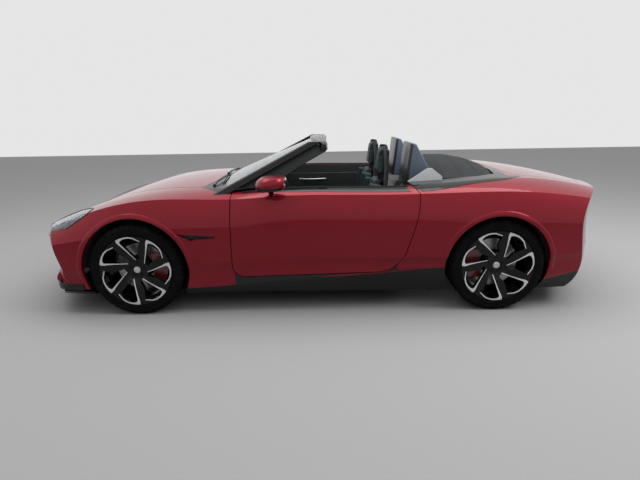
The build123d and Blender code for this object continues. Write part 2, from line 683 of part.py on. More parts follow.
# -------------------------------------------------------------------- luggage and bay
TUB_X = (1500.0, 2050.0)
TUB_HALF = 540.0
TUB_Z = (520.0, 850.0)
with BuildPart() as boot_tub:
    add(box(TUB_X, (-TUB_HALF, TUB_HALF), TUB_Z))
    add(box((TUB_X[0] + PANEL_SHEET, TUB_X[1] - PANEL_SHEET),
            (-TUB_HALF + PANEL_SHEET, TUB_HALF - PANEL_SHEET),
            (TUB_Z[0] + PANEL_SHEET, BELT_TOP)), mode=Mode.SUBTRACT)
    add(shell, mode=Mode.SUBTRACT)
    add(boot_space, mode=Mode.SUBTRACT)

# Cover under the bonnet: its outline over x and z, and half its width.
BAY = ((-1960, 430), (-1960, 610), (-1700, 715), (-900, 830), (-866, 830), (-866, 430))
BAY_HALF = 415.0
with BuildPart() as bay_cover:
    add(side_prism(BAY, -BAY_HALF, BAY_HALF))
    add(side_prism(BAY, -BAY_HALF + PANEL_SHEET, BAY_HALF - PANEL_SHEET, -PANEL_SHEET),
        mode=Mode.SUBTRACT)
    add(box((BAY[0][0] + PANEL_SHEET, BAY[-1][0] - PANEL_SHEET),
            (-BAY_HALF + PANEL_SHEET, BAY_HALF - PANEL_SHEET), (BAY[0][1], BAY[0][1] + 20)),
        mode=Mode.SUBTRACT)

# ------------------------------------------------------------------ wheel housings
LINER_LOW_Z = 360.0
LINER_SPRING_Z = 620.0
LINER_SPRING_Y = 700.0
with BuildPart() as wheel_liners:
    for x, z, arch, house in ((FRONT_AXLE_X, FRONT_HUB_Z, FRONT_ARCH, FRONT_HOUSE_Y),
                              (REAR_AXLE_X, REAR_HUB_Z, REAR_ARCH, REAR_HOUSE_Y)):
        add(cross_disc(x, z, arch + LINER, -house + LINER, -ARCH_LIP_Y))
        add(cross_disc(x, z, arch, -house, -SIDE_REACH), mode=Mode.SUBTRACT)
    for x in (FRONT_AXLE_X, REAR_AXLE_X):
        add(box((x - 500, x + 500), (-SIDE_REACH, 0), (-100, LINER_LOW_Z)), mode=Mode.SUBTRACT)
        add(box((x - 500, x + 500), (-LINER_SPRING_Y, 0), (-100, LINER_SPRING_Z)),
            mode=Mode.SUBTRACT)
    mirror(about=Plane.XZ)

# -------------------------------------------------------------------------- wheels
WINDOW_COUNT = 7
# Outline of one window in the wheel's plane: radius, and degrees from its outer corner.
WINDOW = ((80, -25), (250, 0), (256, -12), (250, -25), (232, -37), (150, -33), (95, -42))
FRONT_WINDOW_TURN = 11.0
REAR_WINDOW_TURN = 21.0
DISC_RADIUS = 186.0
DISC_Y = (775.0, 803.0)
BELL_RADIUS = 80.0
SPIGOT_RADIUS = 30.0
FACE_INSET = 4.0
# Half section of a rim's front: radius, and depth behind its face.
RIM_FRONT = ((0, 38), (68, 36), (120, 22), (210, 6), (248, 0), (RIM_RADIUS, 0), (RIM_RADIUS, 14),
             (TYRE_BEAD_RADIUS, 18))
# Half section of its inside, going back to the middle.
RIM_INSIDE = ((236, 46), (205, 40), (110, 62), (60, 74), (0, 74))
# Half section of its rear lip: radius, and distance in front of its back.
RIM_REAR = ((TYRE_BEAD_RADIUS, 14), (RIM_RADIUS, 10), (RIM_RADIUS, 0), (248, 0), (240, 14))
with BuildSketch() as window_form:
    with BuildLine():
        Polyline(*[(r * cos(radians(a)), r * sin(radians(a))) for r, a in WINDOW], close=True)
    make_face()
window = window_form.sketch


def rim(hub_x, hub_z, width, turn):
    """Left wheel rim about its own axle, with seven windows, and its brake disc."""
    face_y = TYRE_FACE_Y - FACE_INSET
    back_y = TYRE_FACE_Y - width + 12
    profile = [(r, depth - face_y) for r, depth in RIM_FRONT]
    profile += [(r, -back_y - ahead) for r, ahead in RIM_REAR]
    profile += [(r, depth - face_y) for r, depth in RIM_INSIDE]
    bell_back = RIM_INSIDE[-2][1] - 14
    with BuildPart() as form:
        with BuildSketch(Plane.XY.offset(hub_z)):
            with BuildLine():
                Polyline(*profile, close=True)
            make_face()
        revolve(axis=Axis((0, 0, hub_z), (0, 1, 0)))
        with BuildSketch(Plane.XZ.offset(face_y - 90)):
            with Locations((0, hub_z)):
                with PolarLocations(0, WINDOW_COUNT, start_angle=turn):
                    add(window)
        extrude(amount=200, mode=Mode.SUBTRACT)
        add(cross_disc(0, hub_z, SPIGOT_RADIUS, -(KINGPIN_Y + 10), bell_back - face_y))
        add(cross_disc(0, hub_z, DISC_RADIUS, -DISC_Y[0], -DISC_Y[1]))
        add(cross_disc(0, hub_z, BELL_RADIUS, -DISC_Y[0], bell_back - face_y))
    return Location((hub_x, 0, 0)) * form.part


# Half section of a tyre: how far inside its tread, and how far in from its wall.
TYRE_SECTION = ((48, 0), (12, 10), (0, 34))


def tyre(hub_x, hub_z, width):
    """Left tyre, a plain closed ring on the rim's beads."""
    out_y, in_y = -TYRE_FACE_Y, -(TYRE_FACE_Y - width)
    bead = RIM_RADIUS + 1
    with BuildPart() as form:
        with BuildSketch(Plane.XY.offset(hub_z)):
            with BuildLine():
                Polyline(
                    (bead, out_y + 12),
                    *[(hub_z - low, out_y + inward) for low, inward in TYRE_SECTION],
                    *[(hub_z - low, in_y - inward) for low, inward in reversed(TYRE_SECTION)],
                    (bead, in_y - 12),
                    close=True,
                )
            make_face()
        revolve(axis=Axis((0, 0, hub_z), (0, 1, 0)))
    return Location((hub_x, 0, 0)) * form.part


rim_front_left = rim(FRONT_AXLE_X, FRONT_HUB_Z, FRONT_TYRE_WIDTH, FRONT_WINDOW_TURN)
rim_rear_left = rim(REAR_AXLE_X, REAR_HUB_Z, REAR_TYRE_WIDTH, REAR_WINDOW_TURN)
tyre_front_left = tyre(FRONT_AXLE_X, FRONT_HUB_Z, FRONT_TYRE_WIDTH)
tyre_rear_left = tyre(REAR_AXLE_X, REAR_HUB_Z, REAR_TYRE_WIDTH)

# ---------------------------------------------------------------------- running gear
HUB_BORE = SPIGOT_RADIUS + 2
HUB_BOSS = 62.0
HUB_FACE_Y = KINGPIN_Y + 12
UPRIGHT_HALF = 32.0
UPRIGHT_REACH = 165.0
UPRIGHT_Y = (705.0, 740.0)
LUG = 20.0
STUD_RADIUS = 9.0
JOINT_GAP = 0.5
BALL_HALF = 14.0
BALL_RADIUS = 20.0
BALL_DROP = UPRIGHT_REACH + 34.0


def knuckle(hub_x, hub_z):
    """Left upright with its hub bearing bore, and lugs and studs for its ball joints."""
    with BuildPart() as form:
        add(cross_disc(hub_x, hub_z, HUB_BOSS, -700, -HUB_FACE_Y))
        add(box((hub_x - UPRIGHT_HALF, hub_x + UPRIGHT_HALF), (-UPRIGHT_Y[1], -UPRIGHT_Y[0]),
                (hub_z - UPRIGHT_REACH, hub_z + UPRIGHT_REACH)))
        for end in (-1, 1):
            tip = hub_z + end * UPRIGHT_REACH
            add(box((hub_x - 30, hub_x + 30), (-KINGPIN_Y - 22, -UPRIGHT_Y[0]),
                    tuple(sorted((tip, tip - end * LUG)))))
            add(rod((hub_x, -KINGPIN_Y, tip - end), (hub_x, -KINGPIN_Y,
                    hub_z + end * (BALL_DROP - BALL_HALF - JOINT_GAP)), STUD_RADIUS))
        add(cross_disc(hub_x, hub_z, HUB_BORE, -690, -(KINGPIN_Y + 30)), mode=Mode.SUBTRACT)
    return form.part


CALIPER_RADIUS = 214.0
CALIPER_INNER = 120.0
CALIPER_Y = (742.0, 838.0)
CALIPER_HALF = 110.0
DISC_GAP = 5.0


def caliper(hub_x, hub_z, side):
    """Left brake caliper over the disc's edge, ahead of the hub (-1) or behind it (1)."""
    reach = (-CALIPER_Y[1] - 60, -CALIPER_Y[0] + 40)
    with BuildPart() as form:
        add(cross_disc(hub_x, hub_z, CALIPER_RADIUS, -CALIPER_Y[0], -CALIPER_Y[1]))
        add(cross_disc(hub_x, hub_z, CALIPER_INNER, -700, -900), mode=Mode.SUBTRACT)
        for low, high in ((hub_z + CALIPER_HALF, 700), (0, hub_z - CALIPER_HALF)):
            add(box((hub_x - 300, hub_x + 300), reach, (low, high)), mode=Mode.SUBTRACT)
        add(box(tuple(sorted((hub_x - side * 300, hub_x))), reach, (0, 700)), mode=Mode.SUBTRACT)
        add(cross_disc(hub_x, hub_z, DISC_RADIUS + DISC_GAP + 1, -DISC_Y[0] + DISC_GAP,
                       -DISC_Y[1] - DISC_GAP), mode=Mode.SUBTRACT)
    return form.part


knuckle_left = knuckle(FRONT_AXLE_X, FRONT_HUB_Z)
caliper_front_left = caliper(FRONT_AXLE_X, FRONT_HUB_Z, 1)
caliper_rear_left = caliper(REAR_AXLE_X, REAR_HUB_Z, -1)


def arm(ball, feet, radius):
    """Wishbone: two bars from its ball joint to the subframe."""
    with BuildPart() as form:
        for foot in feet:
            add(rod(ball, foot, radius))
        add(rod((ball[0], ball[1], ball[2] - BALL_HALF), (ball[0], ball[1], ball[2] + BALL_HALF),
                BALL_RADIUS))
    return form.part


# Bars and posts of the front subframe's left half: x, y and z ranges.
FRONT_FRAME = (
    ((-1740, -880), (-470, -400), (300, 370)),
    ((-1540, -1480), (-470, 0), (230, 300)),
    ((-1225, -1165), (-470, 0), (230, 300)),
    ((-1760, -1720), (-470, 0), (300, 370)),
    ((-1560, -1500), (-470, -420), (300, 560)),
    ((-1200, -1140), (-470, -420), (300, 560)),
)
with BuildPart() as front_subframe:
    for ranges in FRONT_FRAME:
        add(box(*ranges))
    add(arm((FRONT_AXLE_X, -KINGPIN_Y, FRONT_HUB_Z - BALL_DROP),
            ((-1505, -440, 262), (-1200, -440, 262)), 11))
    add(arm((FRONT_AXLE_X, -KINGPIN_Y, FRONT_HUB_Z + BALL_DROP),
            ((-1520, -445, 530), (-1180, -445, 530)), 9))
    mirror(about=Plane.XZ)

# Bars and posts of the rear subframe's left half: x, y and z ranges.
REAR_FRAME = (
    ((1060, 1120), (-520, 0), (230, 300)),
    ((1560, 1620), (-520, 0), (230, 300)),
    ((1060, 1620), (-520, -460), (230, 300)),
    ((1095, 1135), (-520, -480), (290, 480)),
    ((1545, 1585), (-520, -480), (290, 480)),
)
REAR_ARM_DROP = 150.0
with BuildPart() as rear_subframe:
    for ranges in REAR_FRAME:
        add(box(*ranges))
    add(arm((REAR_AXLE_X, -690, REAR_HUB_Z - REAR_ARM_DROP), ((1140, -500, 265), (1540, -500, 265)), 14))
    add(arm((REAR_AXLE_X, -690, REAR_HUB_Z + REAR_ARM_DROP), ((1120, -500, 460), (1560, -500, 460)), 12))
    add(box((REAR_AXLE_X - 34, REAR_AXLE_X + 34), (-745, -690),
            (REAR_HUB_Z - UPRIGHT_REACH, REAR_HUB_Z + UPRIGHT_REACH)))
    add(cross_disc(REAR_AXLE_X, REAR_HUB_Z, HUB_BOSS, -690, -HUB_FACE_Y))
    add(cross_disc(REAR_AXLE_X, REAR_HUB_Z, HUB_BORE, -680, -(KINGPIN_Y + 30)), mode=Mode.SUBTRACT)
    mirror(about=Plane.XZ)

MOTOR_RADIUS = 130.0
MOTOR_HALF = 260.0
SHAFT_RADIUS = 18.0
SHAFT_HALF = 670.0
with BuildPart() as drive_unit:
    add(cross_disc(REAR_AXLE_X + 60, REAR_HUB_Z + 20, MOTOR_RADIUS, -MOTOR_HALF, MOTOR_HALF))
    add(box((REAR_AXLE_X - 120, REAR_AXLE_X + 190), (-200, 200), (REAR_HUB_Z - 110, 500)))
    add(cross_disc(REAR_AXLE_X, REAR_HUB_Z, SHAFT_RADIUS, -SHAFT_HALF, SHAFT_HALF))

# ----------------------------------------------------------------------- write out
mirrored = {
    "front_wing": front_wing_left.part,
    "rear_quarter": rear_quarter_left.part,
    "door": door_left.part,
    "mirror": mirror_left.part,
    "seat": seat_left.part,
    "rim_front": rim_front_left,
    "rim_rear": rim_rear_left,
    "tyre_front": tyre_front_left,
    "tyre_rear": tyre_rear_left,
    "knuckle": knuckle_left,
    "caliper_front": caliper_front_left,
    "caliper_rear": caliper_rear_left,
}
single = {
    "front_bumper": front_bumper.part,
    "front_grille": front_grille.part,
    "front_splitter": front_splitter.part,
    "headlamps": headlamps.part,
    "bonnet": bonnet.part,
    "cowl_panel": cowl_panel.part,
    "skirts": skirts.part,
    "sills": sills.part,
    "rear_bumper": rear_bumper.part,
    "rear_diffuser": rear_diffuser.part,
    "tail_lamps": tail_lamps.part,
    "boot_lid": boot_lid.part,
    "roof_surround": roof_surround.part,
    "windscreen_frame": windscreen_frame.part,
    "windscreen_glass": windscreen_glass.part,
    "floor_pan": floor_pan.part,
    "battery_pack": battery_pack.part,
    "dashboard": dashboard.part,
    "centre_console": centre_console.part,
    "roll_hoops": roll_hoops.part,
    "roof_cover": roof_cover.part,
    "roof_flaps": roof_flaps.part,
    "steering_wheel": steering_wheel.part,
    "boot_tub": boot_tub.part,
    "bay_cover": bay_cover.part,
    "wheel_liners": wheel_liners.part,
    "front_subframe": front_subframe.part,
    "rear_subframe": rear_subframe.part,
    "drive_unit": drive_unit.part,
}
os.makedirs("parts", exist_ok=True)
for name, part in mirrored.items():
    single[name + "_left"] = part
    single[name + "_right"] = mirror(part, about=Plane.XZ)
for name, part in single.items():
    part.label = name
    export_step(part, f"parts/{name}.step")
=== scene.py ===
"""Looks of a two-seat electric roadster with its roof folded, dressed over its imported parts.

Metres, +Z up.  The nose points to -X and the car's left side is at -Y.
"""

from math import atan2, cos, pi, radians, sin, tau

import bmesh
import bpy
from mathutils import Matrix, Vector
from mathutils.bvhtree import BVHTree


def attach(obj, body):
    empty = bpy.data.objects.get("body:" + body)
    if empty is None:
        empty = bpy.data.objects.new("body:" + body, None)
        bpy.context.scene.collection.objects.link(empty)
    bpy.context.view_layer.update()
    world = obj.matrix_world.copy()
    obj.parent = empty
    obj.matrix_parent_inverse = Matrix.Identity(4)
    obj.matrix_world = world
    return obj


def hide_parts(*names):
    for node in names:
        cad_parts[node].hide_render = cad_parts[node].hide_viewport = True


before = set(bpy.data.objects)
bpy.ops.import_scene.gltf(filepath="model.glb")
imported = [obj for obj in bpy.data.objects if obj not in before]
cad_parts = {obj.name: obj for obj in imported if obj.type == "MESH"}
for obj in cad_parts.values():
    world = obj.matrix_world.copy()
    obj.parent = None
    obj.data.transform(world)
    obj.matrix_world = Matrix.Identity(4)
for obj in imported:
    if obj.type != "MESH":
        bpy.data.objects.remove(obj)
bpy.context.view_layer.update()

# end: axle x and hub height
AXLES = {"front": (-1.3525, 0.352), "rear": (1.3375, 0.350)}
SIDES = (("left", -1), ("right", 1))


# ------------------------------------------------------------------ shader expressions
class Value:
    """A number that varies over a surface; sums and products of it add Math nodes."""

    def __init__(self, material, link):
        self.material, self.link = material, link

    def maths(self, operation, *others):
        """One Math node on this value and others."""
        return self.material.node(
            "ShaderNodeMath", {0: self, **dict(enumerate(others, 1))}, operation=operation)

    def __add__(self, other):
        return self.maths("ADD", other)

    def __mul__(self, other):
        return self.maths("MULTIPLY", other)

    def __sub__(self, other):
        return self.maths("SUBTRACT", other)

    def __rsub__(self, other):
        return (self * -1.0) + other

    def __gt__(self, other):
        return self.maths("GREATER_THAN", other)

    def __lt__(self, other):
        return self.maths("LESS_THAN", other)

    def __pow__(self, other):
        return self.maths("POWER", other)

    __radd__, __rmul__ = __add__, __mul__

    def ramp(self, low, high, to_low=0.0, to_high=1.0):
        """The value carried smoothly from one range onto another."""
        return self.material.node(
            "ShaderNodeMapRange",
            {"Value": self, "From Min": low, "From Max": high, "To Min": to_low, "To Max": to_high},
            interpolation_type="SMOOTHSTEP")


class Nodes:
    """A node tree that grows by expressions on its values."""

    def __init__(self, tree):
        self.tree = tree

    def node(self, kind, links=(), output=0, **settings):
        """Any node: its settings first, then the values or links of its sockets."""
        node = self.tree.nodes.new(kind)
        for name, value in settings.items():
            setattr(node, name, value)
        for socket, value in dict(links).items():
            if isinstance(value, Value):
                self.tree.links.new(value.link, node.inputs[socket])
            else:
                node.inputs[socket].default_value = value
        return Value(self, node.outputs[output])

    def place(self, output="Object"):
        """Where a point of the surface lies."""
        return self.node("ShaderNodeTexCoord", output=output)

    def axes(self, vector=None):
        """X, Y and Z of a place as three values."""
        split = self.node("ShaderNodeSeparateXYZ", {0: vector or self.place()})
        return [Value(self, output) for output in split.link.node.outputs]


class Finish(Nodes):
    """One procedural material; constants go on the shader's own sockets."""

    def __init__(self, name, colour, roughness, metallic=0.0, **constants):
        self.material = bpy.data.materials.new(name)
        self.material.use_nodes = True
        super().__init__(self.material.node_tree)
        self.shader = self.tree.nodes["Principled BSDF"]
        self.shader.inputs["Base Color"].default_value = (*colour, 1)
        self.shader.inputs["Roughness"].default_value = roughness
        self.shader.inputs["Metallic"].default_value = metallic
        for socket, value in constants.items():
            self.shader.inputs[socket.replace("_", " ")].default_value = value

    def noise(self, scale, detail=2.0, roughness=0.5):
        """A cloudy pattern."""
        return self.node(
            "ShaderNodeTexNoise",
            {"Vector": self.place(), "Scale": scale, "Detail": detail, "Roughness": roughness})

    def cells(self, scale, output="Distance", feature="F1"):
        """A pattern of rounded cells."""
        return self.node(
            "ShaderNodeTexVoronoi", {"Vector": self.place(), "Scale": scale},
            output=output, feature=feature)

    def mix(self, factor, first, second):
        """Two colours mixed by a value."""
        links = {"Factor": factor}
        for socket, colour in ((6, first), (7, second)):
            links[socket] = colour if isinstance(colour, Value) else (*colour, 1)
        return self.node("ShaderNodeMix", links, output=2, data_type="RGBA")

    def drive(self, socket, value):
        """Feeds one socket of the shader."""
        self.tree.links.new(value.link, self.shader.inputs[socket])

    def vary(self, pattern, dark, light, gloss, smoothest, roughest):
        """Colour mixed by one pattern, and roughness carried between two values by another."""
        self.drive("Base Color", self.mix(pattern, dark, light))
        self.drive("Roughness", gloss.ramp(0.3, 0.7, smoothest, roughest))

    def bump(self, height, depth, strength):
        """Relief of a depth in metres."""
        bump = self.node("ShaderNodeBump", {"Height": height, "Distance": depth, "Strength": strength})
        self.drive("Normal", bump)

    def put_on(self, *pieces):
        """Makes this the only finish of each piece."""
        for piece in pieces:
            piece.data.materials.clear()
            piece.data.materials.append(self.material)


def red_paint(name, black_under=None):
    """Deep metallic red under clear coat, with fine flakes; black where black_under says so."""
    paint = Finish(name, DEEP_RED[0], 0.36, 0.55, Coat_Weight=1.0, Coat_Roughness=0.05, Coat_IOR=1.30,
                   Specular_IOR_Level=0.12)
    fleck = paint.axes(paint.cells(3200.0, output="Color"))[0]
    drift = paint.noise(1.6)
    flaked = paint.mix(fleck.ramp(0.60, 1.0), paint.mix(drift, *DEEP_RED), (0.42, 0.012, 0.030))
    roughness = fleck.ramp(0.0, 1.0, 0.30, 0.42)
    if black_under:
        black = black_under(*paint.axes())
        flaked = paint.mix(black, flaked, (0.006, 0.006, 0.007))
        paint.drive("Metallic", (1 - black) * 0.55)
    paint.drive("Base Color", flaked)
    paint.drive("Roughness", roughness)
    return paint


def below_sill_line(x, y, z):
    """One below the line on the skirts where red gives way to black; the line climbs aft."""
    aft = (x - SILL_BEND_X).maths("MAXIMUM", 0.0)
    line = (x - SILL_BEND_X) * SILL_SLOPE + aft * aft * SILL_CURVE + SILL_BEND_Z
    return z < line


def gloss_black(name, gloss=0.35):
    """Black lacquered plastic or alloy."""
    lacquer = Finish(name, (0.005, 0.005, 0.006), 0.16, 0.0, Specular_IOR_Level=gloss)
    haze = lacquer.noise(9.0)
    lacquer.vary(haze, (0.004, 0.004, 0.005), (0.008, 0.008, 0.009), haze, 0.13, 0.2)
    return lacquer


def moulded(name, dark, light, roughness=0.55, scale=1400.0):
    """Unpainted moulded plastic with a fine spark-eroded grain."""
    plastic = Finish(name, dark, roughness, Specular_IOR_Level=0.25)
    wear = plastic.noise(12.0, 4.0)
    plastic.vary(wear, dark, light, wear, roughness - 0.07, roughness + 0.11)
    plastic.bump(plastic.cells(scale), 0.00025, 0.5)
    return plastic


def tyre_rubber():
    """Rubber with dust in its tread and a fine grain all over."""
    rubber = Finish("tyre_rubber", (0.007, 0.007, 0.008), 0.8, Specular_IOR_Level=0.05)
    dust = rubber.noise(14.0, 5.0, 0.65)
    rubber.drive("Base Color", rubber.mix(dust.ramp(0.45, 0.8), (0.005, 0.005, 0.006), (0.014, 0.013, 0.013)))
    rubber.drive("Roughness", dust.ramp(0.3, 0.8, 0.7, 0.9))
    rubber.bump(rubber.noise(700.0, 3.0), 0.0002, 0.5)
    return rubber


def clear_glass(name, tint):
    """Thin clear glass with a trace of haze."""
    glass = Finish(name, tint, 0.0, Transmission_Weight=1.0, IOR=1.46)
    glass.drive("Roughness", glass.noise(5.0, 3.0).ramp(0.4, 0.8, 0.0, 0.02))
    return glass


def shade(colour, share):
    """A colour made darker or lighter."""
    return tuple(share * part for part in colour)


def bright_metal(name, colour, roughness, streaks=60.0):
    """Bare metal with uneven polish."""
    metal = Finish(name, colour, roughness, 1.0)
    polish = metal.noise(streaks, 3.0)
    metal.vary(polish, shade(colour, 0.86), colour, polish, roughness * 0.8, roughness * 1.3)
    return metal


def ringed_metal(name, colour, roughness, axle_x, hub_z, pitch):
    """Metal turned on a lathe about an axle: fine rings in its gloss."""
    metal = Finish(name, colour, roughness, 1.0)
    x, y, z = metal.axes()
    radius = ((x - axle_x) * (x - axle_x) + (z - hub_z) * (z - hub_z)) ** 0.5
    rings = (radius * (tau / pitch)).maths("SINE")
    stain = metal.noise(30.0, 3.0)
    metal.drive("Base Color", metal.mix(stain, shade(colour, 0.75), colour))
    metal.drive("Roughness", rings.ramp(-1.0, 1.0, roughness * 0.75, roughness * 1.35))
    metal.bump(rings, 0.00006, 0.6)
    return metal


def cast_metal():
    """Sand-cast alloy, a little stained."""
    metal = Finish("cast_metal", (0.20, 0.20, 0.21), 0.5, 0.9)
    skin = metal.noise(240.0, 4.0)
    metal.vary(metal.noise(7.0, 4.0), (0.10, 0.10, 0.105), (0.26, 0.26, 0.27), skin, 0.42, 0.62)
    metal.bump(skin, 0.0004, 0.6)
    return metal


def woven(name, dark, light, thread, depth=0.0003, sheen=0.04):
    """Plain weave whose threads are a given width apart."""
    cloth = Finish(name, dark, 0.95, 0.0, Sheen_Weight=sheen, Specular_IOR_Level=0.1)
    x, y, z = cloth.axes()
    turn = pi / thread
    warp = ((x + z * 0.3) * turn).maths("SINE")
    weft = (y * turn).maths("SINE")
    patch, fleck = cloth.noise(22.0, 4.0), cloth.noise(900.0)
    cloth.vary((patch + fleck) * 0.5, dark, light, fleck, 0.85, 1.0)
    cloth.bump(warp * weft, depth, 0.6)
    return cloth


def soft_leather(name, colour, roughness=0.5):
    """Grained leather with broad colour drift."""
    hide = Finish(name, colour, roughness, Specular_IOR_Level=0.28)
    drift = hide.noise(9.0, 4.0)
    hide.vary(drift, colour, shade(colour, 1.35), drift, roughness - 0.08, roughness + 0.10)
    hide.bump(hide.cells(420.0, feature="SMOOTH_F1"), 0.0004, 0.6)
    return hide


def painted(name, colour, roughness, coat=0.4, metallic=0.0):
    """Even paint with a slight orange peel."""
    paint = Finish(name, colour, roughness, metallic, Coat_Weight=coat)
    peel = paint.noise(180.0)
    paint.vary(paint.noise(6.0, 3.0), shade(colour, 0.88), colour, peel, roughness * 0.85, roughness * 1.2)
    paint.bump(peel, 0.00008, 0.4)
    return paint


# Front edge of a roll hoop: a point on it, how far it runs back for each metre up, and
# how wide the black band behind it is.
HOOP_FOOT_X, HOOP_FOOT_Z, HOOP_SLOPE, HOOP_BAND = 0.700, 0.893, 0.1134, 0.022


def hoop_paint():
    """Hoops black in front and blue-grey behind."""
    paint = Finish("hoop_paint", (0.010, 0.010, 0.011), 0.4, 0.0, Coat_Weight=0.4, Coat_Roughness=0.2)
    x, y, z = paint.axes()
    behind = x - (z - HOOP_FOOT_Z) * HOOP_SLOPE > HOOP_FOOT_X + HOOP_BAND
    speck = paint.noise(220.0)
    shell = paint.mix(speck, (0.085, 0.112, 0.165), (0.105, 0.135, 0.195))
    paint.vary(behind, (0.008, 0.008, 0.010), shell, speck, 0.34, 0.46)
    return paint


DEEP_RED = (0.158, 0.0020, 0.0092), (0.192, 0.0030, 0.0118)
# Line between the red and the black of the skirts: where it bends, how steeply it climbs
# before that, and how it curves up behind.
SILL_BEND_X, SILL_BEND_Z, SILL_SLOPE, SILL_CURVE = 0.100, 0.282, 0.0196, 0.080

RED = red_paint("red_paint")
RED_OVER_BLACK = red_paint("red_over_black", below_sill_line)
LACQUER = gloss_black("gloss_black")
RIM_BLACK = gloss_black("rim_black_alloy", 0.22)
PLASTIC = moulded("grained_black", (0.012, 0.012, 0.013), (0.022, 0.022, 0.023))
SOFT_TOUCH = moulded("soft_touch_trim", (0.014, 0.016, 0.016), (0.022, 0.025, 0.025), 0.62, 900.0)
SEAL = moulded("seal_rubber", (0.010, 0.010, 0.011), (0.016, 0.016, 0.017), 0.66, 2400.0)
RUBBER = tyre_rubber()
SCREEN = clear_glass("screen_glass", (0.80, 0.88, 0.86))
METAL = bright_metal("satin_metal", (0.60, 0.60, 0.61), 0.28)
MACHINED = bright_metal("machined_alloy", (0.78, 0.78, 0.79), 0.20, 240.0)
MIRROR = bright_metal("mirror_silver", (0.82, 0.84, 0.86), 0.02, 4.0)
SILVER = painted("flap_silver", (0.80, 0.82, 0.85), 0.32, 0.3, 0.45)
CAST = cast_metal()
CASE = painted("battery_case", (0.030, 0.032, 0.035), 0.5, 0.0)
ROOF_CLOTH = woven("woven_roof", (0.024, 0.025, 0.026), (0.042, 0.043, 0.044), 0.0009)
CARPET = woven("looped_carpet", (0.010, 0.010, 0.011), (0.030, 0.030, 0.032), 0.0030, 0.0012, 0.4)
FELT = woven("liner_felt", (0.010, 0.010, 0.010), (0.024, 0.024, 0.024), 0.0022, 0.0008)
HIDE = soft_leather("seat_hide", (0.012, 0.020, 0.021))
TRIM_HIDE = soft_leather("trim_hide", (0.014, 0.015, 0.015), 0.46)
THREAD = woven("seam_thread", (0.16, 0.17, 0.16), (0.24, 0.25, 0.24), 0.0007, 0.0002)
WEBBING = woven("belt_webbing", (0.010, 0.010, 0.011), (0.022, 0.022, 0.023), 0.0012, 0.0002)
CALIPER = painted("caliper_red", (0.20, 0.012, 0.014), 0.34, 0.6)
LAMP_GLASS = clear_glass("lamp_glass", (0.78, 0.82, 0.88))
LAMP_BOWL = painted("lamp_bowl", (0.030, 0.036, 0.046), 0.22, 0.6, 0.3)
LAMP_EYE = painted("lamp_eye", (0.10, 0.13, 0.18), 0.05, 1.0, 0.6)
LIGHT_GUIDE = painted("light_guide", (0.62, 0.64, 0.67), 0.22, 0.6)
TAIL_GLASS = clear_glass("tail_glass", (0.90, 0.16, 0.14))
TAIL_BOWL = painted("tail_bowl", (0.24, 0.008, 0.010), 0.24, 0.6)
TAIL_GUIDE = painted("tail_guide", (0.90, 0.30, 0.26), 0.18, 0.8)
DISPLAY = painted("display_glass", (0.006, 0.007, 0.009), 0.08, 1.0)
PLATE = painted("bare_plate", (0.66, 0.66, 0.65), 0.42, 0.2)
HOOP = hoop_paint()
BRAKE = {end: ringed_metal(f"brake_disc_{end}", (0.42, 0.41, 0.40), 0.32, *axle, 0.0016)
         for end, axle in AXLES.items()}


def nodes(*names):
    """CAD nodes by name; a bare name takes the left and the right one too."""
    found = []
    for name in names:
        found += [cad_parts[n] for n in (name, name + "_left", name + "_right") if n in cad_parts]
    return found


NODE_FINISHES = {
    RED: ("front_bumper", "front_wing", "bonnet", "boot_lid", "rear_quarter", "rear_bumper", "door",
          "mirror"),
    RED_OVER_BLACK: ("skirts",),
    LACQUER: ("front_grille", "front_splitter", "cowl_panel", "roof_surround", "rear_diffuser",
              "windscreen_frame"),
    RIM_BLACK: ("rim_front", "rim_rear"),
    PLASTIC: ("sills", "centre_console", "bay_cover"),
    SOFT_TOUCH: ("dashboard", "steering_wheel"),
    CARPET: ("floor_pan", "boot_tub"),
    FELT: ("wheel_liners",),
    HOOP: ("roll_hoops",),
    RUBBER: ("tyre_front", "tyre_rear"),
    SCREEN: ("windscreen_glass",),
    SILVER: ("roof_flaps",),
    CAST: ("front_subframe", "rear_subframe", "drive_unit", "knuckle"),
    CASE: ("battery_pack",),
    CALIPER: ("caliper_front", "caliper_rear"),
    ROOF_CLOTH: ("roof_cover",),
    HIDE: ("seat",),
    LAMP_BOWL: ("headlamps",),
    TAIL_BOWL: ("tail_lamps",),
}
for finish, names in NODE_FINISHES.items():
    finish.put_on(*nodes(*names))


# ------------------------------------------------------------------ making meshes
# Edges that bend more than this stay sharp to the eye, and are rounded where a block is softened.
SHARP_LOOK, SHARP_EDGE = radians(38), radians(25)
# Points closer together than this are one.
MERGE = 1e-5


def new_piece(mesh, name, finish, body=None, slot=None, replaces=()):
    """A bmesh made into a named piece at the origin; given a body, it is smoothed and rides on it."""
    bmesh.ops.recalc_face_normals(mesh, faces=mesh.faces)
    data = bpy.data.meshes.new(name)
    mesh.to_mesh(data)
    mesh.free()
    piece = bpy.data.objects.new(name, data)
    bpy.context.collection.objects.link(piece)
    finish.put_on(piece)
    if body is None:
        return piece
    data.shade_smooth()
    data.set_sharp_from_angle(angle=SHARP_LOOK)
    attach(piece, body)
    if replaces:
        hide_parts(*replaces)
    return piece


def shares(count):
    """Even steps from 0 to 1."""
    return [step / count for step in range(count + 1)]


def between(first, second, share):
    """A row of numbers at a share of the way from one row to another."""
    return [a + (b - a) * share for a, b in zip(first, second)]


def stepped(rows, steps):
    """Rows of numbers with even steps put in between them."""
    made = [between(first, second, share) for first, second in zip(rows, rows[1:])
            for share in shares(steps)[:-1]]
    return made + [rows[-1]]


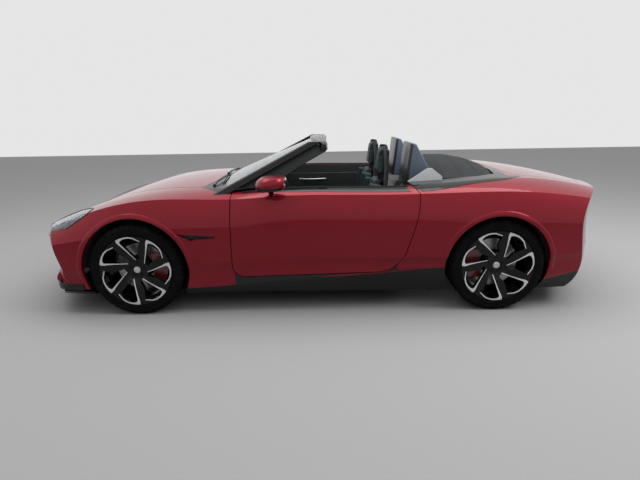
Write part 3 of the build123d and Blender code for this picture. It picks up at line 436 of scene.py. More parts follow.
def read_off(table, place):
    """The value at a place in a table of (place, value), straight between its rows."""
    for (x0, value0), (x1, value1) in zip(table, table[1:]):
        if place <= x1:
            return value0 + (value1 - value0) * (place - x0) / (x1 - x0)
    return table[-1][1]


def circle(radius, count, start=0.0):
    """Points (u, v) round a circle, from an angle on."""
    angles = [start + tau * step / count for step in range(count)]
    return [(radius * cos(angle), radius * sin(angle)) for angle in angles]


def facing(place, course):
    """A move to a place, with +Z turned along a course."""
    return Matrix.Translation(place) @ course.normalized().to_track_quat("Z", "Y").to_matrix().to_4x4()


def peg(mesh, foot, top, height, matrix, segments=36):
    """A capped peg between two radii, about a place and along its Z."""
    bmesh.ops.create_cone(mesh, cap_ends=True, segments=segments, radius1=foot, radius2=top,
                          depth=height, matrix=matrix)


def chain(mesh, points):
    """Vertices joined in a row by edges; returns the edges."""
    edges = []
    last = bmesh.ops.create_vert(mesh, co=points[0])["vert"][0]
    for point in points[1:]:
        grown = bmesh.ops.extrude_vert_indiv(mesh, verts=[last])
        last = grown["verts"][0]
        last.co = point
        edges += grown["edges"]
    return edges


def closed_chain(mesh, points):
    """A ring of edges through points."""
    edges = chain(mesh, points)
    ends = [edges[0].verts, edges[-1].verts]
    loose = [vert for pair in ends for vert in pair if sum(edge in edges for edge in vert.link_edges) == 1]
    return edges + bmesh.ops.contextual_create(mesh, geom=loose)["edges"]


def strip_between(mesh, first, second):
    """Faces between two rows of as many points."""
    bmesh.ops.bridge_loops(mesh, edges=chain(mesh, first) + chain(mesh, second))


def extruded(mesh, faces, keep=False):
    """Faces extruded in place: the new faces' points, still where they were."""
    grown = bmesh.ops.extrude_face_region(mesh, geom=faces)["geom"]
    if not keep:
        bmesh.ops.delete(mesh, geom=[face for face in faces if face.is_valid], context="FACES")
    return [item for item in grown if isinstance(item, bmesh.types.BMVert)]


def strips(rows):
    """A new mesh of faces between rows of as many points."""
    mesh = bmesh.new()
    for first, second in zip(rows, rows[1:]):
        strip_between(mesh, first, second)
    bmesh.ops.remove_doubles(mesh, verts=mesh.verts, dist=MERGE)
    return mesh


def slab(mesh, outline, place, low, high):
    """A flat outline made a slab; place(first, second, level) gives each point."""
    face = bmesh.ops.contextual_create(
        mesh, geom=closed_chain(mesh, [place(*point, low) for point in outline]))["faces"]
    shift = Vector(place(0, 0, high)) - Vector(place(0, 0, low))
    bmesh.ops.translate(mesh, vec=shift, verts=extruded(mesh, face, keep=True))


def along_y(x, z, y):
    """A slab's place from a side view: x and z, at a level of y."""
    return (x, y, z)


def soften(mesh, radius, segments=3):
    """Rounds every sharp edge."""
    sharp = [edge for edge in mesh.edges if edge.is_manifold and edge.calc_face_angle() > SHARP_EDGE]
    bmesh.ops.bevel(mesh, geom=sharp, offset=radius, segments=segments, profile=0.5, affect="EDGES",
                    clamp_overlap=True, material=-1)


UNTURNED = Matrix.Identity(4)


def block(mesh, place, size, radius, segments=2, turn=UNTURNED):
    """A block with rounded edges, turned about its own middle."""
    matrix = Matrix.Translation(place) @ turn @ Matrix.Diagonal((*size, 1))
    corners = bmesh.ops.create_cube(mesh, size=1, matrix=matrix)["verts"]
    edges = list({edge for vert in corners for edge in vert.link_edges})
    bmesh.ops.bevel(mesh, geom=edges, offset=radius, segments=segments, profile=0.5, affect="EDGES",
                    material=-1)


def about_y(degrees_back):
    """A turn that leans a block's top towards the tail."""
    return Matrix.Rotation(radians(degrees_back), 4, "Y")


def join_rings(mesh, rings):
    """Closed rings of as many points, joined in turn and capped at both ends."""
    loops = [closed_chain(mesh, ring) for ring in rings]
    for first, second in zip(loops, loops[1:]):
        bmesh.ops.bridge_loops(mesh, edges=first + second)
    for loop in (loops[0], loops[-1]):
        bmesh.ops.contextual_create(mesh, geom=list({vert for edge in loop for vert in edge.verts}))


def rounded_box(low, high, radius, steps=4):
    """Points of a flat rectangle with round corners, between two corners given as (u, v)."""
    left, right = low[0] + radius, high[0] - radius
    foot, top = low[1] + radius, high[1] - radius
    outline = []
    for corner, (u, v) in enumerate(((right, top), (left, top), (left, foot), (right, foot))):
        for share in shares(steps):
            angle = pi / 2 * (corner + share)
            outline.append((u + radius * cos(angle), v + radius * sin(angle)))
    return outline


def tube(mesh, points, radius, segments=12, closed=False):
    """A round bar through points, capped unless it closes on itself."""
    rings = []
    count = len(points)
    for index, point in enumerate(points):
        ahead = points[(index + 1) % count] if closed or index + 1 < count else point
        behind = points[index - 1] if closed or index > 0 else point
        rings.append(bmesh.ops.create_circle(
            mesh, segments=segments, radius=radius,
            matrix=facing(point, Vector(ahead) - Vector(behind)))["verts"])
    outlines = [list({edge for vert in ring for edge in vert.link_edges}) for ring in rings]
    joined = list(zip(outlines, outlines[1:])) + ([(outlines[-1], outlines[0])] if closed else [])
    for first, second in joined:
        bmesh.ops.bridge_loops(mesh, edges=first + second)
    if not closed:
        for ring in (rings[0], rings[-1]):
            bmesh.ops.contextual_create(mesh, geom=ring)


def bars(name, courses, radius, segments, finish, body, slot, closed=False, **more):
    """A piece of round bars, one along each course."""
    mesh = bmesh.new()
    for course in courses:
        tube(mesh, course, radius, segments, closed)
    return new_piece(mesh, name, finish, body, slot, **more)


def blocks(name, rows, finish, body, slot):
    """A piece of rounded blocks, each row as block() takes it."""
    mesh = bmesh.new()
    for row in rows:
        block(mesh, *row)
    return new_piece(mesh, name, finish, body, slot)


def turned(mesh, profile, steps, centre):
    """A profile of (radius, place along the axle) spun once about a wheel's axle."""
    edges = chain(mesh, [(centre[0] + radius, along, centre[2]) for radius, along in profile])
    bmesh.ops.spin(mesh, geom=edges, cent=centre, axis=(0, 1, 0), angle=tau, steps=steps, use_merge=True)
    bmesh.ops.remove_doubles(mesh, verts=mesh.verts, dist=MERGE)


def thicken(mesh, thickness):
    """Sheets given a wall on the side away from their normals."""
    bmesh.ops.recalc_face_normals(mesh, faces=mesh.faces)
    bmesh.ops.solidify(mesh, geom=mesh.faces[:], thickness=thickness)


# ------------------------------------------------------------------ shapes taken from CAD nodes
NODE_MERGE = 2e-5


def node_mesh(name):
    """A merged copy of a CAD node."""
    mesh = bmesh.new()
    mesh.from_mesh(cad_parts[name].data)
    bmesh.ops.remove_doubles(mesh, verts=mesh.verts, dist=NODE_MERGE)
    mesh.normal_update()
    return mesh


def outer_skin(node, course, reach):
    """A node's faces that look along a course; its Y part turns about for the right side."""
    mesh = node_mesh(node)
    hidden = []
    for face in mesh.faces:
        side = -1 if face.calc_center_median().y < 0 else 1
        look = Vector((course[0], side * course[1], course[2])).normalized()
        if face.normal.dot(look) < reach:
            hidden.append(face)
    bmesh.ops.delete(mesh, geom=hidden, context="FACES")
    mesh.normal_update()
    return mesh


def sink(mesh, depth):
    """Every point moved inwards along its normal."""
    for vert in mesh.verts:
        vert.co -= vert.normal * depth


def dish(mesh, depth):
    """A skin sunk by a depth, with walls from where its edge was."""
    for vert in extruded(mesh, mesh.faces[:]):
        vert.co -= vert.normal * depth


def tree_of(*names, side_name=""):
    """A search tree over nodes, for finding points on them; a bare name may take a side's."""
    mesh = bmesh.new()
    for name in names:
        mesh.from_mesh(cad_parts[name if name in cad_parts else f"{name}_{side_name}"].data)
    tree = BVHTree.FromBMesh(mesh)
    mesh.free()
    return tree


# Courses; INWARDS is that from the left side.
DOWN, AHEAD, BACK, INWARDS = Vector((0, 0, -1)), Vector((-1, 0, 0)), Vector((1, 0, 0)), Vector((0, 1, 0))


def open_edges(mesh):
    """The closed courses that a skin's open edges make."""
    left = {edge for edge in mesh.edges if edge.is_boundary}
    courses = []
    while left:
        edge = left.pop()
        first, corner = edge.verts
        course = [first]
        while corner is not first:
            course.append(corner)
            edge = next(other for other in corner.link_edges if other in left)
            left.remove(edge)
            corner = edge.other_vert(corner)
        courses.append([vert.co.copy() for vert in course])
    return courses


def meet(tree, place, course, lift=0.0):
    """Where a line meets a tree's skin, lifted off it; and the normal there."""
    point, normal = tree.ray_cast(Vector(place), course)[:2]
    if normal.dot(course) > 0:
        normal = -normal
    return point + normal * lift, normal


# Heights and distances from which lines are sent down, in from a side, and along the car.
FAR_UP, FAR_ASIDE, FAR_ALONG = 2.0, 1.3, 3.0


def on_top(tree, x, y, lift=0.0):
    """The point of a tree's skin under a place in plan, lifted off it."""
    return meet(tree, (x, y, FAR_UP), DOWN, lift)[0]


def beside(tree, side, x, z):
    """The point of a tree's skin met from a side, and the normal there."""
    return meet(tree, (x, side * FAR_ASIDE, z), -side * INWARDS)


# ------------------------------------------------------------------ wheels
TYRE_FACE_Y = 0.930
RIM_RADIUS = 0.268
WINDOW_COUNT = 7
TREAD_STEPS = 192
# end: axle x, hub height (the tyre's radius too), tyre width, angle of a window's corner
WHEELS = {
    "front": (*AXLES["front"], 0.245, 11.0),
    "rear": (*AXLES["rear"], 0.275, 21.0),
}
GROOVE_DEPTH, GROOVE_WIDTH, SLOT_DEPTH = 0.0065, 0.009, 0.005
# Middles of the grooves on one side, as shares of the tyre's width.
GROOVE_PLACES = (0.30, 0.10)
# Rim's face: radius and depth behind the tyre's face.
RIM_FACE = ((0.068, 0.040), (0.120, 0.026), (0.210, 0.010), (0.248, 0.004), (0.268, 0.004))
EDGE_LIFT, EDGE_WALL = 0.0012, 0.0016
# A window's long edge, from the hub to its outer corner: radius and angle about the
# corner, and how wide the silver beside it is.
EDGE_FOOT, EDGE_CORNER = (0.080, -25.0, 0.0052), (0.250, 0.0, 0.0150)
EDGE_STEPS = 8
# The silver round the window's outer edge, from the corner: the window's own edge and the
# silver's outer edge, each as radius and angle.
RIM_SILVER = (((0.2304, -0.93), (0.2280, 2.70)), ((0.2385, -1.12), (0.2485, 3.60)),
              ((0.2441, -1.70), (0.2668, 2.9)), ((0.2509, -4.57), (0.2672, -3.5)),
              ((0.2545, -8.5), (0.2674, -8.0)), ((0.2560, -12.0), (0.2674, -12.0)),
              ((0.2555, -18.0), (0.2655, -18.5)), ((0.2500, -25.0), (0.2588, -25.6)),
              ((0.2320, -37.0), (0.2372, -38.0)))
# Share of the long edge at which the rounding of its outer corner starts.
CORNER_START = 0.889


# A tyre's section: near its bead, height above the rim, further out, depth below the tread;
# each with how far in from the side it lies. Then a groove's edge: how far outside its half
# width, and depth.
BEAD = ((0.002, 0.013), (0.006, 0.004), (0.014, 0.0005), (0.022, 0.001), (0.024, 0.003))
SHOULDER = ((0.048, 0.002), (0.034, 0.004), (0.032, 0.003), (0.024, 0.006), (0.013, 0.012),
            (0.005, 0.021), (0.001, 0.032))
GROOVE_EDGE = ((0.001, 0.0), (0.0, 0.002), (-0.0015, GROOVE_DEPTH))


def tyre_profile(radius, width):
    """Outline of a tyre, from one bead round the tread to the other, about its middle."""
    half, edge = width / 2, GROOVE_WIDTH / 2
    outline = [(RIM_RADIUS + above, half - aside) for above, aside in BEAD]
    outline += [(radius - below, half - aside) for below, aside in SHOULDER]
    for place in GROOVE_PLACES:
        middle = place * width
        outline += [(radius - depth, middle + edge + out) for out, depth in GROOVE_EDGE]
        outline += [(radius - depth, middle - edge - out) for out, depth in reversed(GROOVE_EDGE)]
    return outline + [(r, -y) for r, y in reversed(outline)]


def wheel_piece(mesh, what, finish, slot, end, side_name, **more):
    """A piece named for its wheel, on which it rides."""
    new_piece(mesh, f"{what}_{end}_{side_name}", finish, f"{end}_wheel_{side_name}", slot, **more)


# Slots across the tread: how far from its middle they lie, as shares of its width, how far
# below the tread their faces may be, and which of four steps round the tyre they take.
TREAD_SLOTS = ((0.33, 0.47, 0.020, 0), (0.12, 0.28, 0.003, 2))
SLOT_PITCH = 4


def tyre(end, side_name, side):
    """A tyre with four grooves round it and slots across its ribs."""
    axle_x, radius, width = WHEELS[end][:3]
    middle_y = side * (TYRE_FACE_Y - width / 2)
    mesh = bmesh.new()
    turned(mesh, [(r, middle_y + y) for r, y in tyre_profile(radius, width)], TREAD_STEPS,
           (axle_x, 0, radius))
    slots = []
    for face in mesh.faces:
        centre = face.calc_center_median()
        out = Vector((centre.x - axle_x, centre.z - radius))
        across = abs(centre.y - middle_y) / width
        step = round(atan2(out.y, out.x) / tau * TREAD_STEPS - 0.5) % SLOT_PITCH
        if any(inner < across < outer and out.length > radius - below and step == taken
               for inner, outer, below, taken in TREAD_SLOTS):
            slots.append(face)
    for vert in extruded(mesh, slots):
        out = Vector((vert.co.x - axle_x, 0, vert.co.z - radius))
        vert.co -= out.normalized() * SLOT_DEPTH
    wheel_piece(mesh, "tyre_tread", RUBBER, "tyre", end, side_name, replaces=[f"tyre_{end}_{side_name}"])


def polar(radius, angle):
    """A point (u, v) at a radius and an angle in degrees."""
    return Vector((radius * cos(radians(angle)), radius * sin(radians(angle))))


def machined_edges(end, side_name, side):
    """Bare silver faces along each window's edge and round the rim from its corner."""
    axle_x, hub_z, _, turn = WHEELS[end]

    def on_face(point):
        """A point (u, v) about the axle, laid on the rim's face."""
        depth = read_off(RIM_FACE, point.length) - EDGE_LIFT
        return (axle_x + point.x, side * (TYRE_FACE_Y - depth), hub_z + point.y)

    foot, corner = polar(*EDGE_FOOT[:2]), polar(*EDGE_CORNER[:2])
    aside = (corner - foot).normalized().orthogonal()
    edge, outer = [], []
    for step in range(EDGE_STEPS):
        share = CORNER_START * step / EDGE_STEPS
        edge.append(foot.lerp(corner, share))
        outer.append(edge[-1] + aside * (EDGE_FOOT[2] + (EDGE_CORNER[2] - EDGE_FOOT[2]) * share * share))
    edge += [polar(*inner) for inner, beyond in RIM_SILVER]
    outer += [polar(*beyond) for inner, beyond in RIM_SILVER]
    mesh = bmesh.new()
    for window in range(WINDOW_COUNT):
        to_window = Matrix.Rotation(radians(turn) + window * tau / WINDOW_COUNT, 2)
        strip_between(mesh, *[[on_face(to_window @ point) for point in row] for row in (edge, outer)])
    thicken(mesh, EDGE_WALL)
    wheel_piece(mesh, "rim_edges", MACHINED, "rim_black", end, side_name)


HUB_DEPTH, CAP_STEPS = 0.042, 48
# Wheel bolts: their circle, how many, where the first is, how far out they stand, and the
# radii and height of a head.
BOLT_CIRCLE, BOLT_COUNT, BOLT_START, BOLT_OUT = 0.050, 5, 0.3, 0.003
WHEEL_BOLT = (0.0095, 0.0085, 0.012)
# Centre cap: radius and how far it stands out of the hub's recess.
CAP = ((0.0, 0.0100), (0.015, 0.0095), (0.0205, 0.0080), (0.0215, 0.0062), (0.0245, 0.0057),
       (0.0260, 0.0030), (0.0260, -0.0040))


def hub_cap(end, side_name, side):
    """Plain centre cap and five wheel bolts in the hub's recess."""
    axle_x, hub_z = AXLES[end]
    face = side * (TYRE_FACE_Y - HUB_DEPTH)
    mesh = bmesh.new()
    turned(mesh, [(radius, face + side * out) for radius, out in CAP], CAP_STEPS, (axle_x, 0, hub_z))
    wheel_piece(mesh, "hub_cap", METAL, "rim_black", end, side_name)
    mesh = bmesh.new()
    outwards = Matrix.Rotation(-side * pi / 2, 4, "X")
    for u, v in circle(BOLT_CIRCLE, BOLT_COUNT, BOLT_START):
        place = Matrix.Translation((axle_x + u, face + side * BOLT_OUT, hub_z + v))
        peg(mesh, *WHEEL_BOLT, place @ outwards, 6)
    wheel_piece(mesh, "wheel_bolts", RIM_BLACK, "rim_black", end, side_name)


DISC_FACE_Y, DISC_RADIUS, DISC_HAT = 0.8034, 0.184, 0.098
DISC_EDGE, DISC_WALL, DISC_STEPS = 0.001, 0.0004, 96


def brake_disc(end, side_name, side):
    """Ringed face of a brake disc."""
    axle_x, hub_z = AXLES[end]
    face = side * DISC_FACE_Y
    mesh = bmesh.new()
    turned(mesh, [(DISC_HAT, face), (DISC_RADIUS, face), (DISC_RADIUS + DISC_EDGE, face - side * DISC_EDGE)],
           DISC_STEPS, (axle_x, 0, hub_z))
    thicken(mesh, DISC_WALL)
    wheel_piece(mesh, "disc_face", BRAKE[end], "steel", end, side_name)


# Tyre valve: how far out its foot is, at what angle past a window's corner, how deep behind
# the tyre's face, how far its tip leans in and out, and its own radius.
VALVE_FOOT, VALVE_ANGLE, VALVE_DEPTH = 0.232, 6.0, 0.012
VALVE_IN, VALVE_OUT, VALVE_RADIUS = 0.010, 0.008, 0.0035


def valve(end, side_name, side):
    """Tyre valve between two spokes."""
    axle_x, hub_z, _, turn = WHEELS[end]
    course = []
    for reach, depth in ((VALVE_FOOT, VALVE_DEPTH), (VALVE_FOOT - VALVE_IN, VALVE_DEPTH - VALVE_OUT)):
        point = polar(reach, turn + VALVE_ANGLE)
        course.append((axle_x + point.x, side * (TYRE_FACE_Y - depth), hub_z + point.y))
    mesh = bmesh.new()
    tube(mesh, course, VALVE_RADIUS)
    wheel_piece(mesh, "valve", SEAL, "rim_black", end, side_name)


# ------------------------------------------------------------------ lamps
LENS_WALL, LENS_GAP = 0.002, 0.017
# Light guide in a headlamp, and its projectors, seen from above: x and |y|.
GUIDE_PLAN = ((-2.105, 0.505), (-2.045, 0.520), (-1.975, 0.548), (-1.900, 0.590), (-1.830, 0.640),
              (-1.765, 0.705), (-1.715, 0.775))
PROJECTORS = ((-2.065, 0.625), (-1.975, 0.695), (-1.875, 0.765))
# A projector's radius, height and lift off the lens, and the ring round it: its share of that
# radius, how many points it has and how thick it is. A lift below zero is behind the glass.
PROJECTOR_RADIUS, PROJECTOR_HEIGHT, PROJECTOR_SINK = 0.027, 0.0085, -0.0125
RING_SHARE, RING_POINTS, RING_RADIUS = 1.15, 32, 0.0022
BEZEL_RADIUS, GUIDE_RADIUS, GUIDE_SINK = 0.0045, 0.0042, -0.008
# Where each lamp's glass looks, and how squarely a face has to look there to be glass.
FRONT_GLASS, REAR_GLASS, GLASS_REACH = (-1, 0.6, 1), (1, 0.35, 0), 0.3


def lens_and_bowl(skin, node, lens_look, bowl_look):
    """A lamp's skin made a clear lens in the node's place, with a bowl behind it."""
    bowl = skin.copy()
    thicken(skin, LENS_WALL)
    new_piece(skin, *lens_look, replaces=[node])
    sink(bowl, LENS_WALL)
    dish(bowl, LENS_GAP)
    new_piece(bowl, *bowl_look)


def headlamps():
    """Clear lenses over dark bowls, with three projectors and a light guide a side."""
    lens = outer_skin("headlamps", FRONT_GLASS, GLASS_REACH)
    tree = BVHTree.FromBMesh(lens)
    bars("headlamp_bezels", open_edges(lens), BEZEL_RADIUS, 8, LACQUER, "root", "black_gloss", closed=True)
    lens_and_bowl(lens, "headlamps", ("headlamp_lenses", LAMP_GLASS, "root", "lamp_lens"),
                  ("headlamp_bowls", LAMP_BOWL, "root", "black_gloss"))
    shape = Matrix.Diagonal((PROJECTOR_RADIUS, PROJECTOR_RADIUS, PROJECTOR_HEIGHT, 1))
    guides, eyes = bmesh.new(), bmesh.new()
    for _, side in SIDES:
        tube(guides, [on_top(tree, x, side * y, GUIDE_SINK) for x, y in GUIDE_PLAN], GUIDE_RADIUS, 10)
        for x, y in PROJECTORS:
            turn = facing(*meet(tree, (x, side * y, FAR_UP), DOWN, PROJECTOR_SINK))
            bmesh.ops.create_uvsphere(eyes, u_segments=28, v_segments=14, radius=1, matrix=turn @ shape)
            ring = [turn @ Vector((u, v, 0)) for u, v in circle(RING_SHARE * PROJECTOR_RADIUS, RING_POINTS)]
            tube(guides, ring, RING_RADIUS, 8, closed=True)
    new_piece(guides, "headlamp_guides", LIGHT_GUIDE, "root", "lamp_lens")
    new_piece(eyes, "headlamp_projectors", LAMP_EYE, "root", "lamp_lens")


# Light guides in the tail lamp: |y| and z from the middle out to each arrow's head.
TAIL_GUIDES = (((0.0, 0.722), (0.30, 0.722), (0.545, 0.722), (0.645, 0.768), (0.745, 0.772)),
               ((0.0, 0.708), (0.30, 0.708), (0.545, 0.708), (0.645, 0.662), (0.745, 0.658)))
TAIL_GUIDE_STEPS, TAIL_GUIDE_SINK, TAIL_GUIDE_RADIUS = 6, -0.009, 0.0040


def tail_lamps():
    """Red lens over a dark bowl, with a light bar that opens into an arrow each side."""
    lens = outer_skin("tail_lamps", REAR_GLASS, GLASS_REACH)
    tree = BVHTree.FromBMesh(lens)
    lens_and_bowl(lens, "tail_lamps", ("tail_lens", TAIL_GLASS, "root", "tail_lens"),
                  ("tail_lamp_bowl", TAIL_BOWL, "root", "tail_lens"))
    courses = []
    for outline in TAIL_GUIDES:
        whole = [(-y, z) for y, z in reversed(outline)] + list(outline[1:])
        courses.append([meet(tree, (FAR_ALONG, y, z), AHEAD, TAIL_GUIDE_SINK)[0]
                        for y, z in stepped(whole, TAIL_GUIDE_STEPS)])
    bars("tail_lamp_guides", courses, TAIL_GUIDE_RADIUS, 10, TAIL_GUIDE, "root", "tail_lens")


# ------------------------------------------------------------------ outer trim
# Height where a mirror's cap ends and its shoe begins, and how squarely a face has to look
# back to be glass.
MIRROR_SPLIT_Z, MIRROR_LOOK = 0.978, 0.86
# How far the shoe and the glass stand off the housing, and their walls.
SHOE_LIFT, SHOE_WALL, MIRROR_LIFT, MIRROR_WALL = 0.0012, 0.0010, 0.0008, 0.0006


def mirrors():
    """Black shoe under each mirror's painted cap, and its glass."""
    for side_name, _ in SIDES:
        node, door = f"mirror_{side_name}", f"door_{side_name}"
        shoe = node_mesh(node)
        whole = shoe.verts[:] + shoe.edges[:] + shoe.faces[:]
        bmesh.ops.bisect_plane(shoe, geom=whole, plane_co=(0, 0, MIRROR_SPLIT_Z), plane_no=(0, 0, 1),
                               clear_outer=True)
        shoe.normal_update()
        sink(shoe, -SHOE_LIFT)
        thicken(shoe, SHOE_WALL)
        new_piece(shoe, f"mirror_shoe_{side_name}", LACQUER, door, "black_gloss")
        glass = outer_skin(node, BACK, MIRROR_LOOK)
        sink(glass, -MIRROR_LIFT)
        thicken(glass, MIRROR_WALL)
        new_piece(glass, f"mirror_glass_{side_name}", MIRROR, door, "glass")


# Outlet behind the front wheel: its outline (x, z), its floor, how far its lining stands off
# that, and its blades: x, z and height, with their size, lift and turns.
VENT = ((-1.020, 0.634), (-0.735, 0.612), (-0.745, 0.598), (-0.880, 0.592), (-0.916, 0.580))
VENT_FLOOR_Y = 0.912
VENT_LINING = (0.0002, 0.004)
VENT_BLADES = ((-0.955, 0.610, 0.040), (-0.905, 0.606, 0.036), (-0.855, 0.606, 0.026), (-0.805, 0.608, 0.020))
BLADE_LENGTH, BLADE_WALL, BLADE_LIFT, BLADE_ROUND = 0.022, 0.005, 0.009, 0.0018
BLADE_SWEEP, BLADE_LEAN = -24, -18


def wing_vents():
    """Black lining and slanting blades in the outlet behind each front wheel."""
    for side_name, side in SIDES:
        mesh = bmesh.new()
        slab(mesh, VENT, along_y, *[side * (VENT_FLOOR_Y + lift) for lift in VENT_LINING])
        turn = Matrix.Rotation(radians(BLADE_SWEEP * side), 4, "Z") @ about_y(BLADE_LEAN)
        for x, z, height in VENT_BLADES:
            block(mesh, (x, side * (VENT_FLOOR_Y + BLADE_LIFT), z), (BLADE_LENGTH, BLADE_WALL, height),
                  BLADE_ROUND, 1, turn)
        new_piece(mesh, f"wing_vent_{side_name}", LACQUER, "root", "black_gloss")


# Lip along the foot of the nose: the heights it lies between, how deep it is bedded, how far
# it stands out on the sides and how much further ahead. Its stations are at an x on the sides,
# and in even steps of y in front.
CHIN_LOW, CHIN_HIGH, CHIN_BED, CHIN_OUT, CHIN_AHEAD = 0.196, 0.246, 0.012, 0.007, 0.027
CHIN_SIDES_X, CHIN_FRONT_HALF, CHIN_STEPS = (-1.765, -1.820, -1.870, -1.910), 0.855, 48
# Across the lip: share of how far it stands out, then the height above its foot.
CHIN_SECTION = ((0.6, 0.0), (1.0, 0.012), (1.0, CHIN_HIGH - CHIN_LOW - 0.010), (0.7, CHIN_HIGH - CHIN_LOW))
# Fin at each end of the lip, in side view, |y| of its faces and its edges' radius.
CHIN_FIN = ((-2.026, 0.240), (-2.028, 0.268), (-2.014, 0.298), (-1.984, 0.320), (-1.940, 0.316),
            (-1.900, 0.240))
CHIN_FIN_FACES, CHIN_FIN_ROUND, CREASE_RADIUS = (0.750, 0.800), 0.008, 0.0060
# Crease on the bumper's side behind the fin: x and z.
CHIN_CREASE = ((-1.962, 0.322), (-1.935, 0.316), (-1.905, 0.298), (-1.880, 0.272), (-1.862, 0.250))


def chin():
    """A black lip along the foot of the nose, with a red fin and a crease at each end."""
    tree = tree_of("front_bumper")
    level = (CHIN_LOW + CHIN_HIGH) / 2
    stations = [((x, -FAR_ASIDE, level), INWARDS) for x in CHIN_SIDES_X]
    stations += [((-FAR_ALONG, CHIN_FRONT_HALF * (2 * share - 1), level), BACK)
                 for share in shares(CHIN_STEPS)]
    stations += [((x, FAR_ASIDE, level), -INWARDS) for x in reversed(CHIN_SIDES_X)]
    rings = []
    for place, course in stations:
        point, normal = meet(tree, place, course)
        out = Vector((normal.x, normal.y, 0)).normalized()
        reach = CHIN_OUT + CHIN_AHEAD * max(0.0, -out.x) ** 2
        section = [(-CHIN_BED, CHIN_LOW), *[(share * reach, CHIN_LOW + rise) for share, rise in CHIN_SECTION],
                   (-CHIN_BED, CHIN_HIGH)]
        rings.append([(point.x + out.x * u, point.y + out.y * u, z) for u, z in section])
    mesh = bmesh.new()
    join_rings(mesh, rings)
    new_piece(mesh, "chin_lip", LACQUER, "root", "black_gloss")
    mesh = bmesh.new()
    for _, side in SIDES:
        slab(mesh, CHIN_FIN, along_y, *[side * face for face in CHIN_FIN_FACES])
    soften(mesh, CHIN_FIN_ROUND)
    for _, side in SIDES:
        tube(mesh, [beside(tree, side, x, z)[0] for x, z in CHIN_CREASE], CREASE_RADIUS, 8)
    new_piece(mesh, "chin_fins", RED, "root", "body_paint")


def rear_plate():
    """A bare plate in the tail's recess."""
    plate = ((2.2340, 0, 0.5575), (0.003, 0.520, 0.110), 0.0012, 1)
    blocks("plate_rear", [plate], PLATE, "root", "flap_silver")


# A sensor's radii and height.
SENSOR_DISC = (0.011, 0.01034, 0.0024)
# end: the course on which its bumper is met, and the sensors' |y| and z
SENSORS = {"front": (BACK, ((0.28, 0.475), (0.66, 0.475))), "rear": (AHEAD, ((0.34, 0.455), (0.72, 0.470)))}


def parking_sensors():
    """Discs set in both bumpers."""
    for end, (course, places) in SENSORS.items():
        tree = tree_of(f"{end}_bumper")
        mesh = bmesh.new()
        for _, side in SIDES:
            for y, z in places:
                start = (-FAR_ALONG * course.x, side * y, z)
                peg(mesh, *SENSOR_DISC, facing(*meet(tree, start, course)), 28)
        new_piece(mesh, f"parking_sensors_{end}", LACQUER, "root", "black_gloss")


# Wiper: pivot's y, blade's reach in y from there, both lying at the screen's foot.
WIPERS = ((-0.600, 0.560), (-0.030, 0.520))
WIPER_PIVOT_X, WIPER_BLADE_X, WIPER_LIFT = -0.790, -0.735, 0.007
# The blade starts this far from the pivot, drifts ahead by this much and has so many steps;
# the arm grips it at one of them, and rises above it and above the line to it.
WIPER_START, WIPER_DRIFT, WIPER_STEPS, GRIP_STEP = 0.06, 0.020, 12, 7
GRIP_RISE, ELBOW_SHARE, ELBOW_RISE = 0.008, 0.25, 0.012
PIVOT_LIFT, BLADE_RADIUS, ARM_RADIUS, WIPER_BOSS = 0.004, 0.0040, 0.0050, (0.014, 0.011, 0.018)


def wipers():
    """Two wiper arms parked along the foot of the screen."""
    tree = tree_of("windscreen_glass", "cowl_panel", "windscreen_frame")
    mesh = bmesh.new()
    for pivot_y, reach in WIPERS:
        pivot = on_top(tree, WIPER_PIVOT_X, pivot_y, PIVOT_LIFT)
        blade = [on_top(tree, WIPER_BLADE_X - WIPER_DRIFT * share,
                        pivot_y + WIPER_START + (reach - WIPER_START) * share, WIPER_LIFT)
                 for share in shares(WIPER_STEPS)]
        tube(mesh, blade, BLADE_RADIUS, 8)
        grip = blade[GRIP_STEP] + Vector((0, 0, GRIP_RISE))
        elbow = pivot.lerp(grip, ELBOW_SHARE) + Vector((0, 0, ELBOW_RISE))
        tube(mesh, [pivot, elbow, grip], ARM_RADIUS, 10)
        peg(mesh, *WIPER_BOSS, Matrix.Translation(pivot), 24)
    new_piece(mesh, "wipers", SEAL, "root", "black_satin")


# Black trim along the belt, on the door and then on the quarter behind it: x, |y| of its
# inner and its outer edge.
DOOR_BELT = ((-0.560, 0.794, 0.800), (-0.513, 0.794, 0.812), (-0.384, 0.794, 0.841), (-0.240, 0.794, 0.862),
             (-0.106, 0.794, 0.873), (0.218, 0.794, 0.878), (0.534, 0.794, 0.880), (0.690, 0.794, 0.881))
QUARTER_BELT = ((0.765, 0.862, 0.882), (0.840, 0.852, 0.879), (0.904, 0.846, 0.870), (1.000, 0.831, 0.847),
                (1.100, 0.796, 0.821), (1.200, 0.756, 0.795), (1.300, 0.720, 0.772), (1.400, 0.661, 0.746),
                (1.480, 0.605, 0.700), (1.545, 0.612, 0.640), (1.570, 0.618, 0.622))
BELT_LIFT, BELT_ROWS, BELT_STEPS = 0.0018, 8, 8
# How far each belt's end slants back for each metre outwards.
BELT_SLANT = 0.80


def belt_trim(name, table, body, node_names, slanted_end):
    """A thin black strip laid on the panels' skin between two lines seen from above."""
    start, end = table[0][0], table[-1][0]
    for side_name, side in SIDES:
        tree = tree_of(*node_names, side_name=side_name)
        columns = []
        for x, inner, outer in stepped(table, BELT_STEPS):
            along = (x - start) / (end - start)
            slant = BELT_SLANT * (along if slanted_end == "rear" else max(0.0, 1 - 4 * along))
            columns.append([on_top(tree, x + slant * (y - outer), side * y, BELT_LIFT)
                            for y, in stepped(((inner,), (outer,)), BELT_ROWS)])
        new_piece(strips(columns), f"{name}_{side_name}", LACQUER, body.format(side_name), "black_gloss")


